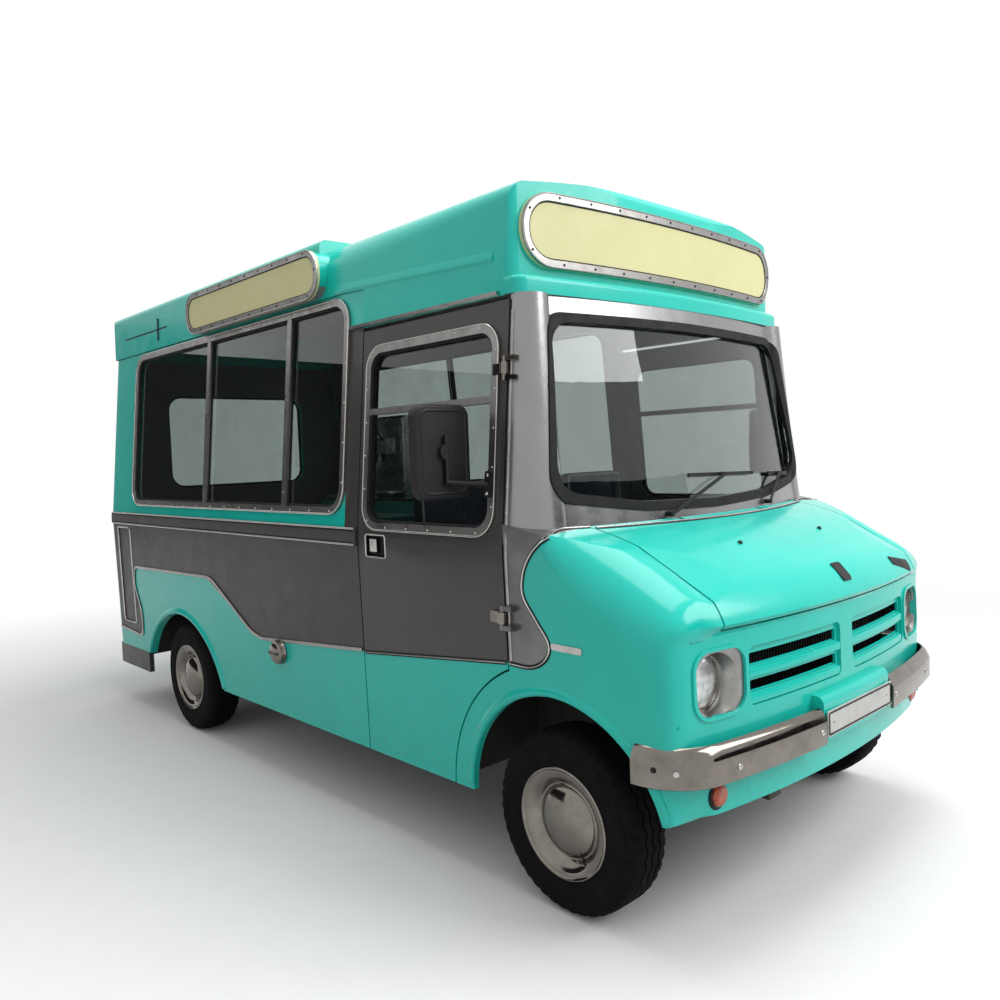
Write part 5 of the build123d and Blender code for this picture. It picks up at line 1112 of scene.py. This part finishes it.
def sign_trim(label, places, band, bead, bead_inset, screw, screw_step):
    """The frame, screws and dark line of a sign. places(inset, out, step) gives places and normals on it."""
    bands = [
        sweep(*line_of(places(band / 2)), flat_band(band, SIGN_TALL, 0.002), True),
        sweep(*line_of(places(bead_inset)), half_round(bead, 0.009), True),
    ]
    piece(label.format("frame"), bands, "steel")
    heads = [dome(*found, screw, 0.004) for found in places(band / 2, SIGN_TALL, screw_step)]
    piece(label.format("screws"), heads, "plastic")
    line = sweep(*line_of(places(band + SIGN_LINE_GAP)), flat_band(0.005, 0.002, 0.0005), True)
    piece(label.format("line"), [line], "rubber")


sign_trim("front_sign_{}", front_places, 0.032, 0.009, 0.003, 0.0055, 0.165)
for name, side in SIDES:
    def side_places(inset, out=0.0, step=SIGN_STEP):
        y = side * (SIDE_SIGN_Y + out)
        outward = Vector((0, side, 0))
        return [(Vector((AXLE_X + x, y, z)), outward) for x, z in drawn_in(SIDE_SIGN, inset, step)]

    sign_trim("side_sign_{}_" + name, side_places, 0.028, 0.010, 0.002, 0.005, 0.15)

# Roof: the crease over the cab, and the slot and latch of the hatch behind the sign

CREASE_ENDS = ((-1.426, 2.465), (-0.321, 2.409))
CREASE_FOLD = (
    (-0.03, -0.002), (-0.028, 0.0005), (-0.004, 0.006), (0.004, 0.006), (0.014, 0.0005), (0.016, -0.002),
)
SLOT_ENDS = ((-4.138, 2.567), (-3.415, 2.567))
LATCH_ENDS = ((-3.550, 2.497), (-3.550, 2.633))

roof_skin = skin("roof")


def roof_line(ends, steps, side):
    """A straight line on the side of the roof, with its normals."""
    (x0, z0), (x1, z1) = ends
    spots = zip(even(x0, x1, steps), even(z0, z1, steps))
    return line_of([from_side(roof_skin, x, z, side) for x, z in spots])


for name, side in SIDES:
    piece("roof_crease_" + name, [sweep(*roof_line(CREASE_ENDS, 24, side), CREASE_FOLD)], "turquoise")
    # The slot of the hatch is a thin black band on the roof: painted shade in the slot.
    slot_line = sweep(*roof_line(SLOT_ENDS, 8, side), flat_band(0.008, 0.002, 0.0005))
    piece("hatch_slot_shade_" + name, [slot_line], "rubber")
    points, normals = roof_line(LATCH_ENDS, 4, side)
    latch = [sweep(points, normals, half_round(0.016, 0.008))]
    for end in (0, -1):
        latch.append(dome(points[end] + normals[end] * 0.007, normals[end], 0.006, 0.004))
    piece("hatch_latch_" + name, latch, "plastic")

# Nose: lamp rims, lens finish and the rubbers of the indicators

LAMP = Vector((AXLE_X + 0.498, 0.797, 0.890))
LENS_RADIUS = 0.0865
LAMP_RIM = (
    (-0.03, 0.0865), (-0.03, 0.0955), (-0.016, 0.0965), (-0.01, 0.0935), (-0.012, 0.0885), (-0.024, 0.086),
)
INDICATOR_Y = 0.784
INDICATOR_Z = 0.520
INDICATOR_BASE = ((0.0, 0.041), (0.0, 0.052), (0.008, 0.050), (0.012, 0.0425))
FORWARD = Vector((1, 0, 0))


def on_lens(spot, normal):
    return hypot(abs(spot.y) - LAMP.y, spot.z - LAMP.z) < LENS_RADIUS and normal.x > 0.3


repaint("headlamps", "clear_lens", on_lens)
repaint("lamps", "red_lens", lambda spot, normal: spot.x < 0)
for name, side in SIDES:
    centre = Vector((LAMP.x, side * LAMP.y, LAMP.z))
    piece("headlamp_rim_" + name, [turned(LAMP_RIM, 64, centre, FORWARD)], "chrome")
    # The rubber is placed from the face of the wing a little above the indicator
    wing_face = from_front(wing_skin, side * INDICATOR_Y, INDICATOR_Z + 0.055)[0]
    foot = Vector((wing_face.x - 0.012, side * INDICATOR_Y, INDICATOR_Z))
    piece("indicator_base_" + name, [turned(INDICATOR_BASE, 40, foot, FORWARD)], "rubber")

# Quarter bumpers, with a sloping top band over a flat face, and their bolts

BUMPER_FOOT_Z = 0.602
BUMPER_MID_Z = 0.649
BUMPER_INNER_Y = 0.286
# Centre of the bend at each end, as distance ahead of the front axle and place across
BUMPER_TURN = (0.350, 0.772)
BUMPER_SECTION = (
    (-0.065, -0.014), (-0.065, -0.005), (-0.061, 0.0), (0.018, 0.0), (0.025, -0.002), (0.047, -0.013),
    (0.058, -0.021), (0.064, -0.031), (0.061, -0.034), (0.043, -0.024), (0.015, -0.013), (-0.055, -0.013),
)
# Bolts on the face as places across and heights; bolt and empty hole on the end as places along and heights
FACE_BOLTS = ((0.316, 0.636), (0.773, 0.629))
END_BOLT = (0.500, 0.640)
END_HOLE = (0.437, 0.648)
BOLT = {"radius": 0.011, "tall": 0.007, "segments": 16}
HOLE = {"radius": 0.011, "tall": 0.0012, "segments": 16}

bumper_skin = skin("front_bumper")
shapes, heads, holes = [], [], []
for name, side in SIDES:
    turn_x, turn_y = BUMPER_TURN
    across = even(BUMPER_INNER_Y, turn_y, 14)
    found = [from_front(bumper_skin, side * y, BUMPER_FOOT_Z) for y in across]
    hub = Vector((AXLE_X + turn_x, side * turn_y, BUMPER_FOOT_Z))
    for angle in even(0.0, 89.0, 24)[1:]:
        beam = Vector((cos(radians(angle)), side * sin(radians(angle)), 0))
        found.append(meet(bumper_skin, hub + beam, -beam))
    points, normals = line_of(found)
    points = [Vector((spot.x, spot.y, BUMPER_MID_Z)) for spot in points]
    shape = sweep(points, normals, [(-side * a, h) for a, h in BUMPER_SECTION])
    shapes.append(shape)
    face = BVHTree.FromPolygons(*shape)
    heads += [dome(*from_front(face, side * y, z), **BOLT) for y, z in FACE_BOLTS]
    heads.append(dome(*from_side(face, *END_BOLT, side), **BOLT))
    holes.append(dome(*from_side(face, *END_HOLE, side), **HOLE))
bumper = piece("quarter_bumpers", shapes, "chrome", BODY_OF["front_bumper"])
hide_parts("front_bumper")
piece("bumper_bolts", heads, "bright")
# The empty hole on each bumper end is a thin black disc: painted shade for the hole.
piece("bumper_hole_shade", holes, "rubber")

# Radiator behind the grille: a dark core with upright fins in a frame

core = [ahead_slab((0.430, -0.640, 0.524), (0.462, 0.640, 1.030), 0.006)]
for y in even(-0.600, 0.600, 59):
    core.append(ahead_slab((0.460, y - 0.003, 0.560), (0.470, y + 0.003, 1.000), 0.0008))
piece("radiator", core, "plastic")

# Bonnet and wings: badges left bare, and washer jets

BADGE = {"x": 0.566, "y": 0.022, "long": 0.056, "wide": 0.070, "tall": 0.006}
NAME_PLATE = {"x": 0.551, "y": 0.610, "long": 0.024, "wide": 0.190, "tall": 0.005}
JET_X = 0.337
JET_Y = 0.315
JET = ((0.0, 0.0), (0.0, 0.010), (0.006, 0.009), (0.010, 0.005), (0.012, 0.0))
WING_BADGE = (0.077, 0.985)


def bonnet_plate(x, y, long, wide, tall):
    """A small plate lying on the bonnet."""
    def lift(spot, out, inset):
        a = spot[0] * (1 - inset / (long / 2))
        b = spot[1] * (1 - inset / (wide / 2))
        ground, normal = from_above(bonnet_skin, x + a, y + b)
        return ground + normal * out

    return plate(rounded((-long / 2, -wide / 2), (long / 2, wide / 2), 0.008, 4), lift, tall)


piece("bonnet_badge", [bonnet_plate(**BADGE)], "plastic", bonnet_body)
piece("bonnet_name_plate", [bonnet_plate(**NAME_PLATE)], "plastic", bonnet_body)
jets = [turned(JET, 14, *from_above(bonnet_skin, JET_X, y)) for y in (-JET_Y, JET_Y)]
piece("washer_jets", jets, "plastic", bonnet_body)
for name, side in SIDES:
    def wing_lift(spot, out, inset):
        ground, normal = from_side(wing_skin, WING_BADGE[0] + spot[0], WING_BADGE[1] + spot[1], side)
        return ground + normal * out

    outline = spaced(rounded((-0.073, -0.012), (0.073, 0.012), 0.004, 3), 0.012)
    piece("wing_badge_" + name, [plate(outline, wing_lift, 0.005)], "bright")

# Front plate: rim and screws

PLATE_RIM_INSET = 0.008
PLATE_SCREW_Y = 0.225
plate_low, plate_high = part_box("number_plate")
outline = rounded(
    (plate_low.y + PLATE_RIM_INSET, plate_low.z + PLATE_RIM_INSET),
    (plate_high.y - PLATE_RIM_INSET, plate_high.z - PLATE_RIM_INSET), 0.006, 3,
)
rim = [Vector((plate_high.x, y, z)) for y, z in outline]
piece("plate_rim", [flat_strip(rim, FORWARD, half_round(0.007, 0.003))], "plastic")
places = [Vector((plate_high.x, y, middle("number_plate").z)) for y in (-PLATE_SCREW_Y, PLATE_SCREW_Y)]
piece("plate_screws", [dome(spot, FORWARD, 0.006, 0.004) for spot in places], "bright")

# Filler cap on the right, and the rubber of the rear window

CAP = (
    (0.0, 0.061), (0.006, 0.066), (0.012, 0.064), (0.03, 0.06), (0.04, 0.05), (0.046, 0.03), (0.048, 0.0),
    (0.0, 0.0),
)
CAP_GRIP = 0.042
cap = turned(CAP, 40, side_spot(FILLER_X, FILLER_Z, -1), side_normal(FILLER_Z, -1))
grip = [(FILLER_X - CAP_GRIP, FILLER_Z), (FILLER_X + CAP_GRIP, FILLER_Z)]
piece("filler_cap", [cap, side_line(grip, -1, half_round(0.014, 0.010), 0.045)], "chrome")

rear_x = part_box("rear_wall")[0].x
seal = [Vector((rear_x, y, z)) for y, z in rounded((-0.560, 1.500), (0.560, 2.200), 0.110)]
piece("rear_window_seal", [flat_strip(seal, -FORWARD, half_round(0.034, 0.012))], "rubber")

# Mirrors: silvered glass behind, rib in front, screws on the foot

MIRROR = Vector((AXLE_X - 0.390, 1.161, 1.684))
MIRROR_GLASS_BACK = 0.022
MIRROR_RIB_FRONT = 0.020
MIRROR_FOOT_X = -0.290
MIRROR_FOOT_UP = 0.238
MIRROR_SCREW = 0.034

for name, side in SIDES:
    body = BODY_OF["mirror_" + name]

    def behind(spot, out, inset):
        a, b = spot
        y = side * MIRROR.y + a * (1 - inset / 0.11)
        return Vector((MIRROR.x - MIRROR_GLASS_BACK - out, y, MIRROR.z + b * (1 - inset / 0.155)))

    pane = plate(rounded((-0.116, -0.163), (0.116, 0.163), 0.036), behind, 0.003)
    piece("mirror_pane_" + name, [pane], "mirror", body)
    ring = [
        Vector((MIRROR.x + MIRROR_RIB_FRONT, side * MIRROR.y + a, MIRROR.z + b))
        for a, b in rounded((-0.106, -0.153), (0.106, 0.153), 0.034)
    ]
    piece("mirror_rib_" + name, [flat_strip(ring, FORWARD, half_round(0.014, 0.006))], "plastic", body)
    foot = [(MIRROR_FOOT_X, up_side(MIRROR_FOOT_UP + shift)) for shift in (-MIRROR_SCREW, MIRROR_SCREW)]
    piece("mirror_screws_" + name, side_studs(foot, side, 0.008, 0.005, 0.0284), "bright", body)

# Inside finishes


def inside_roof(spot, normal):
    return normal.z < -0.5 or (inside_wall(spot, normal) and spot.z < 2.70)


repaint("roof", "lining", inside_roof)
for node in ("side_upper", "side_lower", "side_skirt"):
    repaint(node, "lining", inside_wall)
repaint("rear_wall", "lining", lambda spot, normal: normal.x > 0.5)
repaint("cab_front", "plastic", lambda spot, normal: normal.x < -0.5 and spot.z > 1.36)

# Serving counters: metal edge. Ice cream machine: panel, taps, levers and drip tray

COUNTER_Y = 0.560
MACHINE_Y = 0.580
TAP = ((0.0, 0.0), (0.0, 0.016), (0.05, 0.020), (0.062, 0.026), (0.075, 0.026), (0.075, 0.0))
LEVER = ((0.0, 0.0), (0.0, 0.006), (0.070, 0.006), (0.075, 0.013), (0.098, 0.013), (0.105, 0.0))

counter_low, counter_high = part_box("serving_counter")
for name, side in SIDES:
    ends = (counter_low.x + 0.004, counter_high.x - 0.004)
    rail = [Vector((x, side * COUNTER_Y, counter_high.z - 0.015)) for x in ends]
    edge = flat_strip(rail, (0, -side, 0), half_round(0.034, 0.006), False)
    piece("counter_edge_" + name, [edge], "bright")


def machine_spot(along, out, z):
    """A place on the front of the machine, as distance ahead of the rear axle and out from the front."""
    return Vector((REAR_AXLE_X + along, MACHINE_Y - out, z))


panel = [
    slab(machine_spot(-0.17, 0.006, 1.53), machine_spot(0.23, -0.004, 1.93), 0.003),
    slab(machine_spot(-0.13, 0.100, 1.400), machine_spot(0.19, -0.004, 1.424), 0.004),
]
piece("machine_panel", panel, "stainless")
taps, levers = [], []
for along in (-0.02, 0.08):
    taps.append(turned(TAP, 20, machine_spot(along, 0.055, 1.640), (0, 0, 1)))
    levers.append(turned(LEVER, 16, machine_spot(along, 0.062, 1.800), (0, -0.55, 0.83)))
piece("machine_taps", taps, "chrome")
piece("machine_levers", levers, "plastic")

# Dashboard: binnacle with two dials, and a trim line

DIAL = ((0.0, 0.0), (0.0, 0.052), (0.002, 0.052), (0.002, 0.0))
DIAL_RIM = ((0.0, 0.051), (0.0, 0.059), (0.008, 0.058), (0.010, 0.055), (0.004, 0.051))
dash_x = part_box("dashboard")[0].x
hood = slab(Vector((dash_x - 0.045, -0.700, 1.185)), Vector((dash_x + 0.004, -0.300, 1.345)), 0.014)
piece("dash_binnacle", [hood], "plastic")
places = [Vector((dash_x - 0.0445, y, 1.268)) for y in (-0.585, -0.415)]
piece("dash_dials", [turned(DIAL, 36, spot, -FORWARD) for spot in places], "piping")
piece("dash_rims", [turned(DIAL_RIM, 36, spot, -FORWARD) for spot in places], "bright")
line = [Vector((dash_x, y, 1.120)) for y in (-0.860, 0.860)]
piece("dash_trim", [flat_strip(line, -FORWARD, half_round(0.014, 0.005), False)], "bright")

# Seats: cushions and backrests blown up as cloth, with piping, on bevelled bases

SEAT_X = -0.840
SEAT_Y = 0.500
SOFT_SHRINK = 0.022
SOFT_CAP = 0.024
SOFT_VOXEL = 0.017
SOFT_FRAMES = 20
PLEAT = 0.12
PLEAT_FREE = 0.0515
SEAT_HALF = 0.240
SEAT_CORNER = 0.05
BASE_HALF = 0.200
BASE_REAR = SEAT_X - 0.200
BASE_FRONT = SEAT_X + 0.180
BASE_LOW = 0.5504
BASE_HIGH = 0.812
BASE_INSET = 0.012
CUSHION = (
    Vector((AXLE_X + SEAT_X - 0.240, -SEAT_HALF, 0.800)), Vector((AXLE_X + SEAT_X + 0.240, SEAT_HALF, 0.950)),
)
BACKREST = (
    Vector((AXLE_X + SEAT_X - 0.330, -SEAT_HALF, 0.830)), Vector((AXLE_X + SEAT_X - 0.210, SEAT_HALF, 1.560)),
)


def evaluated(obj):
    return bpy.data.meshes.new_from_object(obj.evaluated_get(bpy.context.evaluated_depsgraph_get()))


def blow_up(block, is_held):
    """Air blown into a block of cloth that is held at some corners, with a cap on how far it swells."""
    start = [v.co.copy() for v in block.data.vertices]
    held = block.vertex_groups.new(name="held")
    held.add([v.index for v in block.data.vertices if is_held(v.co)], 1.0, "REPLACE")
    cloth = block.modifiers.new("air", "CLOTH")
    cloth.settings.quality = 6
    cloth.settings.use_pressure = True
    cloth.settings.uniform_pressure_force = 4.0
    cloth.settings.vertex_group_mass = "held"
    cloth.settings.effector_weights.gravity = 0.0
    cloth.point_cache.frame_start = 1
    cloth.point_cache.frame_end = SOFT_FRAMES
    for step in range(1, SOFT_FRAMES + 1):
        bpy.context.scene.frame_set(step)
    block.data = evaluated(block)
    block.modifiers.clear()
    bpy.context.scene.frame_set(1)
    for v, first in zip(block.data.vertices, start):
        moved = v.co - first
        if moved.length > SOFT_CAP:
            v.co = first + moved * (SOFT_CAP / moved.length)


def stuffed(low, high, upwards):
    """The shape of a pleated cushion about the middle of the car, from a cloth simulation with air inside."""
    def is_held(spot):
        pleat = abs((spot.y + SEAT_HALF) % PLEAT - PLEAT / 2) > PLEAT_FREE
        under = spot.z < low.z + 0.03 if upwards else spot.x < low.x + 0.02
        return under or pleat

    inset = Vector((SOFT_SHRINK / 2,) * 3)
    corners, faces = slab(low + inset, high - inset, 0.030)
    mesh = bpy.data.meshes.new("soft_block")
    mesh.from_pydata(corners, [], faces)
    block = linked("soft_block", mesh)
    even_out = block.modifiers.new("even", "REMESH")
    even_out.mode = "VOXEL"
    even_out.voxel_size = SOFT_VOXEL
    block.data = evaluated(block)
    block.modifiers.clear()
    blow_up(block, is_held)
    shape = [v.co.copy() for v in block.data.vertices], [tuple(f.vertices) for f in block.data.polygons]
    bpy.data.objects.remove(block)
    return shape


def piping_guide(low, high, upwards):
    """The line of the piping round a cushion's top or a backrest's front, and the way that it faces."""
    if upwards:
        edge = rounded((low.x, low.y), (high.x, high.y), SEAT_CORNER)
        return [Vector((a, b, high.z)) for a, b in edge], Vector((0, 0, 1))
    edge = rounded((low.y, low.z), (high.y, high.z), SEAT_CORNER)
    return [Vector((high.x, a, b)) for a, b in edge], FORWARD


SOFT_PARTS = [
    (label, stuffed(*box, upwards), *piping_guide(*box, upwards))
    for label, box, upwards in (("cushion", CUSHION, True), ("backrest", BACKREST, False))
]
for name, side in SIDES:
    over = Vector((0, side * SEAT_Y, 0))
    for label, (corners, faces), guide, out in SOFT_PARTS:
        shape = [corner + over for corner in corners], faces
        soft = piece(f"seat_{label}_{name}", [shape], "vinyl", "body")
        fine = soft.modifiers.new("fine", "SUBSURF")
        fine.levels = fine.render_levels = 1
        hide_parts("seats")
        surface = BVHTree.FromPolygons(*shape)
        found = [surface.find_nearest(spot + over) for spot in guide]
        cord = sweep([f[0] for f in found], [f[1] + out * 0.2 for f in found], half_round(0.010, 0.005), True)
        piece(f"seat_piping_{label}_{name}", [cord], "piping")
    rails = [
        ahead_slab((BASE_REAR, over.y + y - 0.018, BASE_LOW), (BASE_FRONT, over.y + y + 0.018, 0.584), 0.004)
        for y in (-0.18, 0.18)
    ]
    box = ahead_slab(
        (BASE_REAR + BASE_INSET, over.y - BASE_HALF + BASE_INSET, BASE_LOW + 0.02),
        (BASE_FRONT - BASE_INSET, over.y + BASE_HALF - BASE_INSET, BASE_HIGH), 0.010,
    )
    stand = piece("seat_base_" + name, [box, *rails], "plastic")
    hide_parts("seats")

# Camera, set where the photographer stood
CAMERA_PLACE = Vector((AXLE_X + 2.069, -3.165, 1.668))
CAMERA_YAW = radians(136.970)
CAMERA_PITCH = radians(-3.074)
CAMERA_ROLL = radians(-2.153)
IMAGE_SIDE = 1000.0
FOCAL_PIXELS = 852.627
SENSOR = 36.0

camera = linked("camera", bpy.data.cameras.new("camera"))
forward = Vector(
    (cos(CAMERA_YAW) * cos(CAMERA_PITCH), sin(CAMERA_YAW) * cos(CAMERA_PITCH), sin(CAMERA_PITCH))
)
level = forward.cross(Vector((0, 0, 1))).normalized()
upright = level.cross(forward)
right = level * cos(CAMERA_ROLL) + upright * sin(CAMERA_ROLL)
up = upright * cos(CAMERA_ROLL) - level * sin(CAMERA_ROLL)
turn = Matrix((right, up, -forward)).transposed().to_4x4()
camera.matrix_world = Matrix.Translation(CAMERA_PLACE) @ turn
camera.data.sensor_width = SENSOR
camera.data.lens = SENSOR * FOCAL_PIXELS / IMAGE_SIDE
bpy.context.scene.camera = camera

# Studio
bpy.context.scene.view_settings.view_transform = "Standard"


def area_light(name, spot, aim, size, watts):
    data = bpy.data.lights.new(name, "AREA")
    data.size = size
    data.energy = watts
    lamp = linked(name, data)
    lamp.location = spot
    lamp.rotation_euler = (Vector(aim) - Vector(spot)).to_track_quat("-Z", "Y").to_euler()


area_light("key", (7.5, 3.0, 6.5), (1.5, 0, 1.2), 5.0, 460)
area_light("top", (1.0, 0.5, 7.5), (1.0, 0, 1.5), 5.0, 330)

world = bpy.data.worlds.new("studio")
bpy.context.scene.world = world
world.use_nodes = True
sky = world.node_tree
sky.nodes.clear()


def seen_rays(tree):
    """1 for rays that show the background: straight from the camera, off metal and through glass."""
    rays = tree.nodes.new("ShaderNodeLightPath")
    seen = math_node(tree, "MAXIMUM", rays.outputs["Is Camera Ray"], rays.outputs["Is Glossy Ray"])
    return math_node(tree, "MAXIMUM", seen, rays.outputs["Is Transmission Ray"])


strength = ramp(sky, seen_rays(sky), 0.62, 1.0, 0.0, 1.0)
background = add_node(sky, "ShaderNodeBackground", {"Color": (1, 1, 1, 1), "Strength": strength})
add_node(sky, "ShaderNodeOutputWorld", {"Surface": background.outputs[0]})


def stage_plane(name, corners, material):
    mesh = bpy.data.meshes.new(name)
    mesh.from_pydata(corners, [], [(0, 1, 2, 3)])
    mesh.materials.append(material)
    obj = linked(name, mesh)
    return obj


# Pale floor that takes the shadow near the object and runs out into the white background
pale = dull_surface("pale_floor", (0.86, 0.86, 0.86), (0.84, 0.84, 0.84), rough=0.8, depth=0.0)
tree = pale.node_tree
reach = add_node(tree, "ShaderNodeVectorMath", {0: place(tree)}, operation="LENGTH").outputs["Value"]
far = math_node(tree, "MULTIPLY", ramp(tree, reach, 0.0, 1.0, 3.2, 7.0), seen_rays(tree))
shader = tree.nodes["Principled BSDF"]
bounce = blend(tree, seen_rays(tree), (0.46, 0.46, 0.46), shader.inputs["Base Color"].links[0].from_socket)
wire(tree, shader, base_color=bounce)
white = add_node(tree, "ShaderNodeEmission", {"Color": (1, 1, 1, 1), "Strength": 1.0})
mixed = add_node(tree, "ShaderNodeMixShader", {0: far})
tree.links.new(shader.outputs[0], mixed.inputs[1])
tree.links.new(white.outputs[0], mixed.inputs[2])
tree.links.new(mixed.outputs[0], tree.nodes["Material Output"].inputs["Surface"])
FLOOR = 40
floor_corners = [(-FLOOR, -FLOOR, 0), (FLOOR, -FLOOR, 0), (FLOOR, FLOOR, 0), (-FLOOR, FLOOR, 0)]
stage_plane("studio_floor", floor_corners, pale)

# Dark flags to either side that give the metal and the glass something to show
flag = dull_surface("black_flag", (0.020, 0.020, 0.022), (0.030, 0.030, 0.030), rough=0.9, depth=0.0)
for name, corners in (
    ("flag_rear", [(-11, -3.5, 0.4), (-4, -9, 0.4), (-4, -9, 4.2), (-11, -3.5, 4.2)]),
    ("flag_front", [(8.5, 8.0, 0.4), (11, 1.5, 0.4), (11, 1.5, 3.4), (8.5, 8.0, 3.4)]),
):
    stage_plane(name, corners, flag).visible_camera = False
